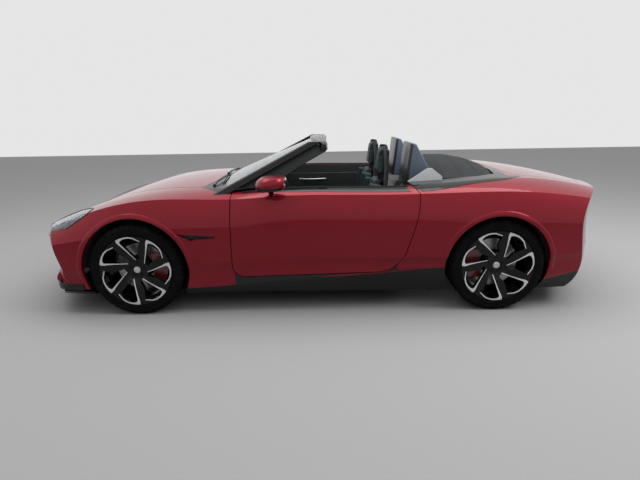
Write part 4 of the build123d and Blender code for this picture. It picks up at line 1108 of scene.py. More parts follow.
# Windscreen pillars, foot to head: middle x, |y|, z, half length and half width of their section.
PILLAR_FOOT = (-0.705, 0.792, 0.900, 0.060, 0.023)
PILLAR_HEAD = (-0.002, 0.618, 1.258, 0.052, 0.021)
HEADER_HALF, HEADER_TOP, HEADER_DROP, HEADER_DEPTH = 0.646, 1.2755, 0.026, 0.066
HEADER_FRONT, HEADER_FRONT_BOW, HEADER_REAR, HEADER_REAR_BOW = 0.030, 0.085, 0.0965, 0.030
HEADER_STATIONS, HEADER_ROUND = 28, 0.018
# Share of its half width from which the header's end is rounded off, and by how much.
HEADER_END, HEADER_SHRINK = 0.94, 0.012
PILLAR_STEPS, PILLAR_ROUND = 8, 0.019
# Seals across the header: how far ahead of its rear edge, how far over its top, and radius.
HEADER_SEALS, SEAL_SPAN, SEAL_STEPS = ((0.016, -0.0030, 0.0035), (0.040, -0.0015, 0.0020)), 0.93, 32
# Latches along the header, as shares of its half width. Each has a top and a rear plate:
# how far ahead of the rear edge and below the top it lies, its size and edge radius.
LATCHES = (-0.80, -0.40, 0.40, 0.80)
LATCH_PLATES = ((0.028, 0.0005, (0.014, 0.060, 0.004)), (0.0005, 0.030, (0.004, 0.046, 0.018)))
LATCH_ROUND = 0.0015


def header_section(across):
    """The header's box at a share of its half width: front, rear, low and high."""
    middle = 1 - across * across
    end = max(0.0, (abs(across) - HEADER_END) / (1 - HEADER_END))
    shrink = HEADER_SHRINK * end * end
    high = HEADER_TOP - HEADER_DROP * across * across - shrink
    front = HEADER_FRONT - HEADER_FRONT_BOW * middle + shrink
    rear = HEADER_REAR - HEADER_REAR_BOW * middle - shrink
    return front, rear, high - HEADER_DEPTH + 2 * shrink, high


def screen_surround():
    """Windscreen pillars and a deep header with rounded ends."""
    mesh = bmesh.new()
    for _, side in SIDES:
        rings = []
        for x, y, z, half_x, half_y in stepped((PILLAR_FOOT, PILLAR_HEAD), PILLAR_STEPS):
            section = rounded_box((-half_x, -half_y), (half_x, half_y), PILLAR_ROUND)
            rings.append([(x + u, side * (y + v), z) for u, v in section])
        join_rings(mesh, rings)
    rings = []
    for share in shares(HEADER_STATIONS):
        across = 2 * share - 1
        front, rear, low, high = header_section(across)
        section = rounded_box((front, low), (rear, high), HEADER_ROUND, 5)
        rings.append([(u, across * HEADER_HALF, v) for u, v in section])
    join_rings(mesh, rings)
    new_piece(mesh, "screen_surround", LACQUER, "root", "black_gloss", replaces=["windscreen_frame"])


def header_trim():
    """Seals across the header's top and the latches that hold the roof to it."""
    seals, latches = bmesh.new(), bmesh.new()
    for ahead, above, radius in HEADER_SEALS:
        course = []
        for share in shares(SEAL_STEPS):
            across = SEAL_SPAN * (2 * share - 1)
            front, rear, low, high = header_section(across)
            course.append((rear - ahead, across * HEADER_HALF, high + above))
        tube(seals, course, radius, 8)
    new_piece(seals, "header_seals", SEAL, "root", "black_satin")
    for across in LATCHES:
        front, rear, low, high = header_section(across)
        for ahead, below, size in LATCH_PLATES:
            block(latches, (rear - ahead, across * HEADER_HALF, high - below), size, LATCH_ROUND)
    new_piece(latches, "roof_latches", METAL, "root", "steel")


# Lining behind each pillar, in side view, and how far inside the pillar's middle its faces lie.
PILLAR_LINING = ((-0.600, 0.932), (-0.470, 1.020), (-0.130, 1.194), (0.005, 1.236), (0.088, 1.214),
                 (0.080, 1.186), (-0.088, 1.098), (-0.222, 1.018), (-0.300, 0.966), (-0.330, 0.932))
LINING_OUTSIDE, LINING_INSIDE, LINING_ROUND = 0.010, 0.036, 0.008


def pillar_linings():
    """Padded lining on the inside of each windscreen pillar."""
    lean = (PILLAR_FOOT[1] - PILLAR_HEAD[1]) / (PILLAR_HEAD[2] - PILLAR_FOOT[2])
    for side_name, side in SIDES:
        def beside_pillar(x, z, inset):
            """A point in side view, laid inside the leaning pillar."""
            return (x, side * (PILLAR_FOOT[1] - lean * (z - PILLAR_FOOT[2]) - inset), z)

        mesh = bmesh.new()
        slab(mesh, PILLAR_LINING, beside_pillar, LINING_OUTSIDE, LINING_INSIDE)
        soften(mesh, LINING_ROUND)
        new_piece(mesh, f"pillar_lining_{side_name}", SOFT_TOUCH, "root", "black_satin")


# Rubber lips at the foot of the side glass: x of their ends and |y| of each, how far they
# lie off the door, their steps and radius.
WINDOW_LIP_ENDS_X, WINDOW_LIPS_Y = (-0.540, 0.670), (0.8055, 0.8200)
WINDOW_LIP_LIFT, WINDOW_LIP_STEPS, WINDOW_LIP_RADIUS = 0.0026, 24, 0.0034


def window_seals():
    """Rubber lips along the top of each door, where the lowered glass went down."""
    for side_name, side in SIDES:
        door = f"door_{side_name}"
        tree = tree_of(door)
        courses = []
        for lip_y in WINDOW_LIPS_Y:
            row = stepped([(x, lip_y) for x in WINDOW_LIP_ENDS_X], WINDOW_LIP_STEPS)
            courses.append([on_top(tree, x, side * y, WINDOW_LIP_LIFT) for x, y in row])
        bars(f"window_seal_{side_name}", courses, WINDOW_LIP_RADIUS, 8, SEAL, door, "black_satin")


# Bolts of the battery case: |y| and z of their rows, where a row starts, its pitch and count,
# and a head's radii and height.
CASE_BOLTS_Y, CASE_BOLTS_Z = 0.630, 0.1355
CASE_BOLTS_START, CASE_BOLTS_PITCH, CASE_BOLTS_COUNT = -0.80, 0.096, 16
CASE_BOLT = (0.009, 0.009, 0.004)


def underside_bolts():
    """Bolt heads along both flanges of the battery case."""
    mesh = bmesh.new()
    for _, side in SIDES:
        for step in range(CASE_BOLTS_COUNT):
            x = CASE_BOLTS_START + CASE_BOLTS_PITCH * step
            peg(mesh, *CASE_BOLT, Matrix.Translation((x, side * CASE_BOLTS_Y, CASE_BOLTS_Z)), 6)
    new_piece(mesh, "battery_bolts", METAL, "root", "steel")


# Edge radius of the hoops, and the bend below which their CAD faces are one.
HOOP_EDGE_RADIUS, HOOP_FLAT = 0.017, radians(1)


def roll_hoops():
    """Hoops behind the seats with well rounded edges."""
    mesh = node_mesh("roll_hoops")
    bmesh.ops.dissolve_limit(mesh, angle_limit=HOOP_FLAT, verts=mesh.verts, edges=mesh.edges)
    soften(mesh, HOOP_EDGE_RADIUS, 5)
    new_piece(mesh, "roll_hoop_shells", HOOP, "root", "hoop_grey", replaces=["roll_hoops"])


# A raised lip round each wheel arch, by its end: how far its inner edge is from the axle, and
# the angles at which it starts and stops, counted from ahead over the top.
ARCH_LIPS = {"front": (0.3995, -8.0, 176.0), "rear": (0.3865, 2.0, 186.0)}
LIP_WIDTH, LIP_HEIGHT, LIP_STEPS = 0.036, 0.0045, 72
# Across the lip: share of its width, share of its height.
LIP_SECTION = ((0.0, 0.15), (0.06, 0.75), (0.16, 1.0), (0.70, 0.85), (0.90, 0.45), (1.0, -0.10))
LIP_PANELS = {"front": ("front_wing", "front_bumper"), "rear": ("rear_quarter", "rear_bumper")}


def arch_lips():
    """Raised lips round the wheel arches, on the panels' own skin."""
    for end, (radius, first, last) in ARCH_LIPS.items():
        axle_x, hub_z = AXLES[end]
        for side_name, side in SIDES:
            tree = tree_of(*LIP_PANELS[end], side_name=side_name)
            rows = []
            for share, height in LIP_SECTION:
                row = []
                for angle, in stepped(((first,), (last,)), LIP_STEPS):
                    u, v = polar(radius + LIP_WIDTH * share, angle)
                    point, normal = beside(tree, side, axle_x - u, hub_z + v)
                    row.append(point + normal * (LIP_HEIGHT * height))
                rows.append(row)
            new_piece(strips(rows), f"arch_lip_{end}_{side_name}", RED, "root", "body_paint")


# ------------------------------------------------------------------ folded roof
COVER_START_X, COVER_END_X = 0.892, 1.424
# Cover's half width: x and half width, as its solid has them.
COVER_PLAN = ((0.885, 0.560), (1.000, 0.600), (1.150, 0.600), (1.300, 0.540), (1.430, 0.430))
COVER_BOWS = (0.990, 1.135, 1.285)
BOW_HEIGHT, BOW_REACH, SAG_DEPTH = 0.0010, 0.022, 0.0012
# Cloth: its grid, how far its edge stays inside the cover's, wall, lift, the height of its
# fine ripples, their waves along and across the car, and the share of its half width over
# which the bows fade out.
CLOTH_GRID, CLOTH_EDGE, CLOTH_WALL, CLOTH_LIFT = (80, 72), 0.003, 0.0016, 0.0005
RIPPLE, RIPPLE_WAVES, FADE = 0.0007, ((41, 9), (3, 7)), 1 / 6
# Stitches beside each bow: how far aside, the share of the width they run over, their steps,
# lift and radius.
STITCH_ASIDE, STITCH_SPAN, STITCH_STEPS = (-0.012, 0.012), 0.93, 32
STITCH_LIFT, STITCH_RADIUS = 0.0006, 0.0007


def bow_lift(x):
    """Ridges where the roof's bows press up, and slack between them."""
    lift = -SAG_DEPTH
    for bow in COVER_BOWS:
        lift += (BOW_HEIGHT + SAG_DEPTH) / (1 + ((x - bow) / BOW_REACH) ** 2)
    return lift


def roof_cloth():
    """The folded roof's cloth, over three bows."""
    tree = tree_of("roof_cover")
    mesh = bmesh.new()
    bmesh.ops.create_grid(mesh, x_segments=CLOTH_GRID[0], y_segments=CLOTH_GRID[1], size=1)
    for vert in mesh.verts:
        across = sin(vert.co.y * pi / 2)
        x = COVER_START_X + (COVER_END_X - COVER_START_X) * (vert.co.x + 1) / 2
        reach = read_off(COVER_PLAN, x) - CLOTH_EDGE
        point, normal = meet(tree, (x, reach * across, FAR_UP), DOWN)
        ripple = RIPPLE
        for along, over in RIPPLE_WAVES:
            ripple *= sin(along * x + over * across)
        fade = min(1, (1 - abs(across)) / FADE)
        vert.co = point + normal * ((bow_lift(x) + ripple) * fade + CLOTH_LIFT)
    area = sum(face.calc_area() for face in mesh.faces)
    thicken(mesh, CLOTH_WALL)
    cloth = new_piece(mesh, "roof_cloth", ROOF_CLOTH, "root", "soft_top", replaces=["roof_cover"])
    cloth.data.shade_smooth()


def roof_stitching():
    """Two rows of stitches along each bow."""
    tree = tree_of("roof_cover")
    courses = []
    for bow in COVER_BOWS:
        for x in [bow + aside for aside in STITCH_ASIDE]:
            courses.append([on_top(tree, x, read_off(COVER_PLAN, bow) * STITCH_SPAN * (2 * share - 1),
                                   bow_lift(x) + STITCH_LIFT) for share in shares(STITCH_STEPS)])
    bars("roof_stitching", courses, STITCH_RADIUS, 6, WEBBING, "root", "soft_top")


# ------------------------------------------------------------------ cabin
# Outlines in side view, x and z.
CARD = ((-0.585, 0.430), (-0.598, 0.700), (-0.592, 0.903), (-0.45, 0.920), (-0.29, 0.931),
        (-0.10, 0.938), (0.30, 0.937), (0.625, 0.934), (0.560, 0.700), (0.480, 0.520), (0.410, 0.440))
ARMREST = ((-0.34, 0.628), (-0.36, 0.672), (-0.20, 0.690), (0.22, 0.686), (0.30, 0.712), (0.34, 0.655))
DOOR_POCKET = ((-0.45, 0.455), (-0.47, 0.560), (-0.40, 0.590), (0.10, 0.560), (0.16, 0.520), (0.14, 0.455))
# Door trim: outline, |y| of its inner and outer face, edge radius and finish.
DOOR_TRIM = {
    "card": (CARD, 0.776, 0.7900, 0.005, SOFT_TOUCH),
    "armrest": (ARMREST, 0.722, 0.7780, 0.014, TRIM_HIDE),
    "pocket": (DOOR_POCKET, 0.750, 0.7780, 0.007, PLASTIC),
}
# Pull on the door: x of its ends, |y| there, height, how far it bows inwards and its radius.
PULL_ENDS_X, PULL_Y, PULL_Z, PULL_BOW, PULL_RADIUS = (-0.200, 0.080), 0.780, 0.785, 0.030, 0.0075
# Speaker's rings: x and z, |y|, outermost radius, count, share of it lost at each, thickness.
SPEAKER_PLACE, SPEAKER_Y, SPEAKER_RADIUS = (-0.490, 0.665), 0.7755, 0.072
SPEAKER_RINGS, SPEAKER_LOSS, SPEAKER_WIRE = 6, 1 / 7, 0.0016
# Double seam along the card: x of its ends, |y|, heights and the thread's radius.
DOOR_SEAM_X, DOOR_SEAM_Y, DOOR_SEAM_Z, DOOR_THREAD = (-0.570, 0.560), 0.7757, (0.846, 0.850), 0.0007


def door_cards():
    """Trim inside each door: card, armrest, pocket, pull, speaker and seam."""
    for side_name, side in SIDES:
        door = f"door_{side_name}"
        for part, (outline, inner, outer, radius, finish) in DOOR_TRIM.items():
            mesh = bmesh.new()
            slab(mesh, outline, along_y, side * inner, side * outer)
            soften(mesh, radius)
            new_piece(mesh, f"door_{part}_{side_name}", finish, door, "black_satin")
        start, end = PULL_ENDS_X
        grip = [(start + (end - start) * share, side * (PULL_Y - PULL_BOW * sin(pi * share)), PULL_Z)
                for share in shares(4)]
        bars(f"door_pull_{side_name}", [grip], PULL_RADIUS, 12, METAL, door, "flap_silver")
        x, z = SPEAKER_PLACE
        rings = [[(x + u, side * SPEAKER_Y, z + v)
                  for u, v in circle(SPEAKER_RADIUS * (1 - SPEAKER_LOSS * ring), 40)]
                 for ring in range(SPEAKER_RINGS)]
        bars(f"speaker_{side_name}", rings, SPEAKER_WIRE, 6, LACQUER, door, "black_satin", closed=True)
        seams = [stepped([(x, side * DOOR_SEAM_Y, z) for x in DOOR_SEAM_X], 40) for z in DOOR_SEAM_Z]
        bars(f"door_seam_{side_name}", seams, DOOR_THREAD, 6, THREAD, door, "seat_trim")


COLUMN_TILT, RIM_STEPS, RIM_THREAD = 22.0, 72, 0.0010
STEERING_CENTRE = Vector((-0.225, -0.370, 0.800))
GRIP_RADIUS, GRIP_THICKNESS, FLAT_FOOT = 0.167, 0.0148, 0.142
# Spokes and hub about the wheel's centre, its foot along +X: place, size and edge radius.
WHEEL_BLOCKS = (
    ((-0.004, 0.0, -0.012), (0.104, 0.124, 0.034), 0.014),
    ((-0.006, 0.108, -0.010), (0.034, 0.104, 0.014), 0.005),
    ((-0.006, -0.108, -0.010), (0.034, 0.104, 0.014), 0.005),
    ((0.090, 0.0, -0.012), (0.106, 0.032, 0.012), 0.004),
)
# Column behind the hub: its radii and length, and how far behind its middle is.
COLUMN, COLUMN_BACK = (0.024, 0.024, 0.080), 0.060
# Control pads on the side spokes, and the two keys on each: how far aside, then place (x, z),
# size, edge radius and segments.
PAD_ASIDE, KEY_ASIDE = 0.092, (-0.012, 0.012)
CONTROL_PAD = ((-0.006, -0.001), (0.026, 0.044, 0.008), 0.003, 3)
CONTROL_KEY = ((-0.006, 0.0035), (0.016, 0.014, 0.003), 0.001, 2)


WHEEL_PLACE = Matrix.Translation(STEERING_CENTRE) @ about_y(90 - COLUMN_TILT)


def rim_course(inset):
    """Points round the steering wheel with its foot flattened, in from the middle of the grip."""
    return [WHEEL_PLACE @ Vector((min(u, FLAT_FOOT - inset), v, 0))
            for u, v in circle(GRIP_RADIUS - inset, RIM_STEPS)]


def steering_wheel():
    """Leather rim with a flattened foot, three spokes, a boss and two control pads."""
    rim = bars("steering_rim", [rim_course(0.0)], GRIP_THICKNESS, 16, TRIM_HIDE, "steering_wheel",
               "seat_trim", closed=True, replaces=["steering_wheel"])
    rim.data.shade_smooth()
    mesh = bmesh.new()
    for centre, size, radius in WHEEL_BLOCKS:
        block(mesh, centre, size, radius, 4)
    peg(mesh, *COLUMN, Matrix.Translation((0, 0, -COLUMN_BACK)))
    bmesh.ops.transform(mesh, matrix=WHEEL_PLACE, verts=mesh.verts)
    new_piece(mesh, "steering_boss", SOFT_TOUCH, "steering_wheel", "seat_trim")
    mesh = bmesh.new()
    for y in (-PAD_ASIDE, PAD_ASIDE):
        for aside, ((x, z), *rest) in [(0.0, CONTROL_PAD)] + [(key, CONTROL_KEY) for key in KEY_ASIDE]:
            block(mesh, (x, y + aside, z), *rest)
    bmesh.ops.transform(mesh, matrix=WHEEL_PLACE, verts=mesh.verts)
    new_piece(mesh, "steering_pads", LACQUER, "steering_wheel", "black_gloss")
    bars("steering_seam", [rim_course(GRIP_THICKNESS)], RIM_THREAD, 6, THREAD, "steering_wheel",
         "seat_trim", closed=True)


# Glass of the middle and the driver's display: place, size, edge radius, segments, lean.
DISPLAYS = (((-0.3325, 0, 0.8597), (0.004, 0.258, 0.146), 0.0016, 2, about_y(-6.6)),
            ((-0.4107, -0.370, 0.9409), (0.004, 0.250, 0.064), 0.0016, 2, about_y(-26.6)))
DASH_VENT_X, DASH_VENTS_Y, DASH_VENT_Z, VENT_LEAN = -0.3435, (-0.640, -0.205, 0.205, 0.640), 0.812, 18.4
# An air vent about its own middle: the frame's four bars, then its slats.
VENT_BAR, VENT_POST = (0.012, 0.112, 0.005), (0.012, 0.005, 0.060)
VENT_FRAME = (((0.002, 0, -0.029), VENT_BAR, 0.002), ((0.002, 0, 0.029), VENT_BAR, 0.002),
              ((0.002, -0.0535, 0), VENT_POST, 0.002), ((0.002, 0.0535, 0), VENT_POST, 0.002))
SLATS_Z, SLAT_SIZE = (-0.020, -0.010, 0.0, 0.010, 0.020), (0.010, 0.104, 0.0026)
SLAT_ROUND, SLAT_LEAN = 0.0010, 28
# Double seam over the dashboard: x of each row, y of the ends, lift and the thread's radius.
DASH_SEAM_X, DASH_SEAM_Y, DASH_SEAM_LIFT, DASH_THREAD = (-0.505, -0.499), (-0.690, 0.690), 0.0004, 0.0008


def dashboard_trim():
    """Displays, vents with their slats, and the stitched seam over the dashboard."""
    blocks("displays", DISPLAYS, DISPLAY, "root", "black_gloss")
    mesh = bmesh.new()
    for y in DASH_VENTS_Y:
        earlier = set(mesh.verts)
        for row in VENT_FRAME:
            block(mesh, *row)
        for z in SLATS_Z:
            block(mesh, (0, 0, z), SLAT_SIZE, SLAT_ROUND, 1, about_y(SLAT_LEAN))
        place = Matrix.Translation((DASH_VENT_X, y, DASH_VENT_Z)) @ about_y(VENT_LEAN)
        bmesh.ops.transform(mesh, matrix=place, verts=[vert for vert in mesh.verts if vert not in earlier])
    new_piece(mesh, "air_vents", LACQUER, "root", "black_gloss")
    tree = tree_of("dashboard")
    seams = []
    for seam_x in DASH_SEAM_X:
        row = stepped([(seam_x, y) for y in DASH_SEAM_Y], 60)
        seams.append([on_top(tree, x, y, DASH_SEAM_LIFT) for x, y in row])
    bars("dashboard_seam", seams, DASH_THREAD, 6, THREAD, "root", "seat_trim")


# Console: a height above it; knobs by their first x, pitch, count and taper, each a foot and a
# grip with radius and height; keys in a row each side, by y, first x, pitch, count, lift, size
# and edge radius.
CONSOLE_OVER_Z = 0.75
KNOB_X, KNOB_PITCH, KNOB_COUNT, KNOB_TAPER = -0.300, 0.058, 3, 0.94
KNOB = ((0.018, 0.006), (0.014, 0.022))
KEY_Y, KEY_X, KEY_PITCH, KEY_COUNT, KEY_LIFT = (-0.075, 0.075), -0.320, 0.042, 4, 0.002
KEY_SIZE, KEY_ROUND = (0.030, 0.020, 0.008), 0.002
CONSOLE_PAD = ((0.300, 0, 0.6070), (0.260, 0.215, 0.028), 0.012, 4, about_y(-3.9))


def console_trim():
    """Knobs, keys and padded armrest on the console."""
    mesh = bmesh.new()
    tree = tree_of("centre_console")
    for knob in range(KNOB_COUNT):
        x, y, z = meet(tree, (KNOB_X + KNOB_PITCH * knob, 0, CONSOLE_OVER_Z), DOWN)[0]
        for radius, height in KNOB:
            peg(mesh, radius, radius * KNOB_TAPER, height, Matrix.Translation((x, y, z + height / 2)))
    for aside in KEY_Y:
        for key in range(KEY_COUNT):
            x, y, z = meet(tree, (KEY_X + KEY_PITCH * key, aside, CONSOLE_OVER_Z), DOWN)[0]
            block(mesh, (x, y, z + KEY_LIFT), KEY_SIZE, KEY_ROUND)
    new_piece(mesh, "console_controls", METAL, "root", "flap_silver")
    pad = blocks("console_armrest", [CONSOLE_PAD], TRIM_HIDE, "root", "seat_trim")
    pad.data.shade_smooth()


# Accelerator and brake pads: place and size. Both lean the same way, and for each metre along
# them rise and run ahead by this much.
PEDALS = (((-0.742, -0.285, 0.360), (0.012, 0.055, 0.150)), ((-0.725, -0.380, 0.410), (0.012, 0.085, 0.058)))
PEDAL_ROUND, PEDAL_LEAN, RISE_ALONG, AHEAD_ALONG = 0.005, -24, 0.91, 0.41
# Ribs across a pad: their pitch, the length of pad that each needs, lift, share of the pad's
# width, depth and height, and edge radius.
RIB_PITCH, RIB_ROOM, RIB_LIFT, RIB_SHARE = 0.015, 0.016, 0.008, 0.8
RIB_DEPTH, RIB_HEIGHT, RIB_ROUND = 0.004, 0.005, 0.0015
# Arms from the pads up to the bulkhead, and their radius.
PEDAL_ARMS = (((-0.760, -0.285, 0.345), (-0.775, -0.285, 0.500), (-0.740, -0.285, 0.655)),
              ((-0.735, -0.380, 0.412), (-0.770, -0.380, 0.500), (-0.740, -0.380, 0.655)))
PEDAL_ARM_RADIUS = 0.009


def pedals():
    """Two ribbed pedals on their arms."""
    mesh = bmesh.new()
    for (x, y, z), size in PEDALS:
        block(mesh, (x, y, z), size, PEDAL_ROUND, 3, about_y(PEDAL_LEAN))
        ribs = int(size[2] / RIB_ROOM)
        for rib in range(ribs):
            shift = (rib - (ribs - 1) / 2) * RIB_PITCH
            block(mesh, (x + RIB_LIFT - shift * AHEAD_ALONG, y, z + shift * RISE_ALONG),
                  (RIB_DEPTH, size[1] * RIB_SHARE, RIB_HEIGHT), RIB_ROUND, 1, about_y(PEDAL_LEAN))
    new_piece(mesh, "pedal_pads", METAL, "root", "steel")
    bars("pedal_arms", PEDAL_ARMS, PEDAL_ARM_RADIUS, 12, CASE, "root", "steel")


MAT_CENTRE, MAT_SIZE, MAT_THICKNESS = (-0.440, 0.410), (0.620, 0.500), 0.007
# Footwell's floor, the gap below a mat, its edge radius, and its binding: steps, radius, and
# how square its course is.
FOOTWELL_Z, MAT_GAP, MAT_ROUND = 0.274, 0.0005, 0.003
BINDING_STEPS, BINDING_RADIUS, BINDING_SQUARENESS = 96, 0.0035, 8


def floor_mats():
    """Woven mats with bound edges in both footwells."""
    centre_x, centre_y = MAT_CENTRE
    half_x, half_y = MAT_SIZE[0] / 2, MAT_SIZE[1] / 2
    power = BINDING_SQUARENESS
    for side_name, side in SIDES:
        place = (centre_x, side * centre_y, FOOTWELL_Z + MAT_GAP + MAT_THICKNESS / 2)
        mat = (place, (*MAT_SIZE, MAT_THICKNESS), MAT_ROUND)
        blocks(f"floor_mat_{side_name}", [mat], CARPET, "root", "carpet")
        edge = []
        for u, v in circle(1.0, BINDING_STEPS):
            out = (abs(u) ** power + abs(v) ** power) ** (-1 / power)
            edge.append((centre_x + half_x * out * u, side * centre_y + half_y * out * v,
                         FOOTWELL_Z + MAT_THICKNESS))
        bars(f"mat_binding_{side_name}", [edge], BINDING_RADIUS, 8, TRIM_HIDE, "root", "carpet", closed=True)


# Rear-view mirror: its stalk from the header and that one's radius, its housing and its glass.
STALK, STALK_RADIUS = ((-0.108, 0, 1.222), (-0.070, 0, 1.196), (-0.036, 0, 1.184)), 0.007
INNER_MIRROR = ((-0.026, 0, 1.180), (0.020, 0.236, 0.058), 0.009, 4, about_y(-8))
INNER_GLASS = ((-0.0156, 0, 1.1785), (0.002, 0.224, 0.048), 0.0008, 1, about_y(-8))


def inner_mirror():
    """Rear-view mirror hung from the header."""
    mesh = bmesh.new()
    tube(mesh, STALK, STALK_RADIUS)
    block(mesh, *INNER_MIRROR)
    new_piece(mesh, "inner_mirror", PLASTIC, "root", "black_satin")
    blocks("inner_mirror_glass", [INNER_GLASS], MIRROR, "root", "glass")


# ------------------------------------------------------------------ seats
SEAT_Y = 0.370
PAD_VOXEL = 0.007
PAD_SWELL = 0.010
CLOTH_FRAMES, CLOTH_PRESSURE, CLOTH_QUALITY = 18, 4.0, 4
PAD_ROUND = 0.016
# One seat's pads about its own middle: foot and head of the pad's face (x, z), how far it
# lies to the side, its half width at foot and head, and its thickness.
SEAT_PADS = (
    # foot             head              aside   half widths     thick
    ((-0.062, 0.352), (0.110, 0.346), 0.0, (0.140, 0.146), 0.062),
    ((0.124, 0.346), (0.318, 0.352), 0.0, (0.146, 0.140), 0.062),
    ((-0.058, 0.380), (0.296, 0.402), -0.196, (0.034, 0.036), 0.095),
    ((-0.058, 0.380), (0.296, 0.402), 0.196, (0.034, 0.036), 0.095),
    ((0.352, 0.420), (0.402, 0.590), 0.0, (0.138, 0.142), 0.060),
    ((0.405, 0.604), (0.440, 0.770), 0.0, (0.142, 0.140), 0.060),
    ((0.443, 0.784), (0.478, 0.955), 0.0, (0.140, 0.118), 0.060),
    ((0.330, 0.450), (0.420, 0.930), -0.194, (0.036, 0.030), 0.095),
    ((0.330, 0.450), (0.420, 0.930), 0.194, (0.036, 0.030), 0.095),
    ((0.492, 0.985), (0.520, 1.196), 0.0, (0.122, 0.106), 0.062),
)
# Hard shell behind the pads: x and z from its front lip round its back to its head, and
# its half width there.
SEAT_SHELL = ((-0.078, 0.300, 0.225), (0.020, 0.292, 0.232), (0.300, 0.300, 0.236), (0.430, 0.330, 0.238),
              (0.500, 0.420, 0.238), (0.545, 0.620, 0.238), (0.575, 0.860, 0.226), (0.592, 1.020, 0.168),
              (0.588, 1.150, 0.132), (0.575, 1.212, 0.112))
# Across the shell: share of its half width, and how far it wraps round the pads there.
SHELL_COLUMNS = ((-1.0, 0.055), (-0.86, 0.020), (-0.4, 0.0), (0.4, 0.0), (0.86, 0.020), (1.0, 0.055))
# How far each line of piping lies from the seat's middle.
SEAM_ASIDE = 0.158


def seat_pads_mesh():
    """All pads of the left seat as closed blocks with rounded edges, a little apart."""
    mesh = bmesh.new()
    for (x0, z0), (x1, z1), aside, (half0, half1), thick in SEAT_PADS:
        out = Vector((z0 - z1, 0, x1 - x0)).normalized()
        for vert in bmesh.ops.create_cube(mesh, size=1)["verts"]:
            x, z, half = (x1, z1, half1) if vert.co.x > 0 else (x0, z0, half0)
            depth = 0 if vert.co.z > 0 else -thick
            across = Vector((0, half if vert.co.y > 0 else -half, 0))
            vert.co = Vector((x, aside - SEAT_Y, z)) + out * depth + across
    bmesh.ops.recalc_face_normals(mesh, faces=mesh.faces)
    bmesh.ops.bevel(mesh, geom=mesh.edges[:], offset=PAD_ROUND, segments=3, profile=0.5, affect="EDGES",
                    material=-1)
    return mesh


def apply_modifiers(piece):
    """Leaves a piece's mesh as its modifiers make it."""
    graph = bpy.context.evaluated_depsgraph_get()
    made = bpy.data.meshes.new_from_object(piece.evaluated_get(graph))
    piece.modifiers.clear()
    old = piece.data
    piece.data = made
    bpy.data.meshes.remove(old)


def puffed(piece):
    """Padding pressed out against its cover by a short cloth simulation."""
    remesh = piece.modifiers.new("remesh", "REMESH")
    remesh.mode, remesh.voxel_size = "VOXEL", PAD_VOXEL
    apply_modifiers(piece)
    start = [vert.co.copy() for vert in piece.data.vertices]
    cloth = piece.modifiers.new("cloth", "CLOTH")
    cloth.settings.use_pressure = True
    cloth.settings.uniform_pressure_force = CLOTH_PRESSURE
    cloth.settings.effector_weights.gravity = 0
    cloth.settings.quality = CLOTH_QUALITY
    for step in range(1, CLOTH_FRAMES + 1):
        bpy.context.scene.frame_set(step)
    apply_modifiers(piece)
    bpy.context.scene.frame_set(1)
    for vert, place in zip(piece.data.vertices, start):
        moved = vert.co - place
        if moved.length > PAD_SWELL:
            vert.co = place + moved.normalized() * PAD_SWELL
    piece.data.shade_smooth()


def seats():
    """Two sports seats: puffed pads, piped seams, a hard shell, rails and a belt."""
    left = new_piece(seat_pads_mesh(), "seat_pads_left", HIDE, "root", "seat_trim", replaces=["seat_left"])
    puffed(left)
    twin = bmesh.new()
    twin.from_mesh(left.data)
    bmesh.ops.transform(twin, matrix=Matrix.Scale(-1, 4, (0, 1, 0)), verts=twin.verts)
    right = new_piece(twin, "seat_pads_right", HIDE, "root", "seat_trim", replaces=["seat_right"])
    right.data.shade_smooth()
    HIDE.put_on(left, right)
    for side_name, side in SIDES:
        seat_shell(side_name, side)
        seat_piping(side_name, side)
        seat_belt(side_name, side)


# From a height on, and over so much of a rise, the shell's wrap round the cushion turns into
# one round the back; and the shell's wall. Then the seat's rails.
WRAP_TURN_Z, WRAP_TURN, SHELL_WALL = 0.33, 0.3, 0.006
RAIL_ASIDE, RAIL_X, RAIL_Z, RAIL_SIZE, RAIL_ROUND = (-0.17, 0.17), 0.20, 0.283, (0.46, 0.030, 0.018), 0.003


def seat_shell(side_name, side):
    """A hard shell that wraps round the pads from behind, and the rails it stands on."""
    columns = []
    for across, wrap in SHELL_COLUMNS:
        column = []
        for x, z, half in SEAT_SHELL:
            upright = min(max((z - WRAP_TURN_Z) / WRAP_TURN, 0), 1)
            column.append((x - wrap * upright, side * (SEAT_Y + across * half), z + wrap * (1 - upright)))
        columns.append(column)
    mesh = strips(columns)
    thicken(mesh, SHELL_WALL)
    shell = new_piece(mesh, f"seat_shell_{side_name}", PLASTIC, "root", "seat_trim")
    rounding = shell.modifiers.new("rounding", "SUBSURF")
    rounding.levels = rounding.render_levels = 2
    rails = [((RAIL_X, side * SEAT_Y + aside, RAIL_Z), RAIL_SIZE, RAIL_ROUND) for aside in RAIL_ASIDE]
    blocks(f"seat_rails_{side_name}", rails, CAST, "root", "steel")


# Piping: x and height along the cushion, and z up the back. There, x of its foot, how far it
# leans back and what share it draws in for each metre up, and its radius.
CUSHION_X, CUSHION_SEAM_Z, BACK_Z = (-0.05, 0.05, 0.15, 0.25, 0.31), 0.349, (0.44, 0.56, 0.68, 0.80, 0.93)
BACK_SEAM_X, BACK_LEAN, BACK_DRAW, PIPING_RADIUS = 0.362, 0.215, 0.24, 0.0024


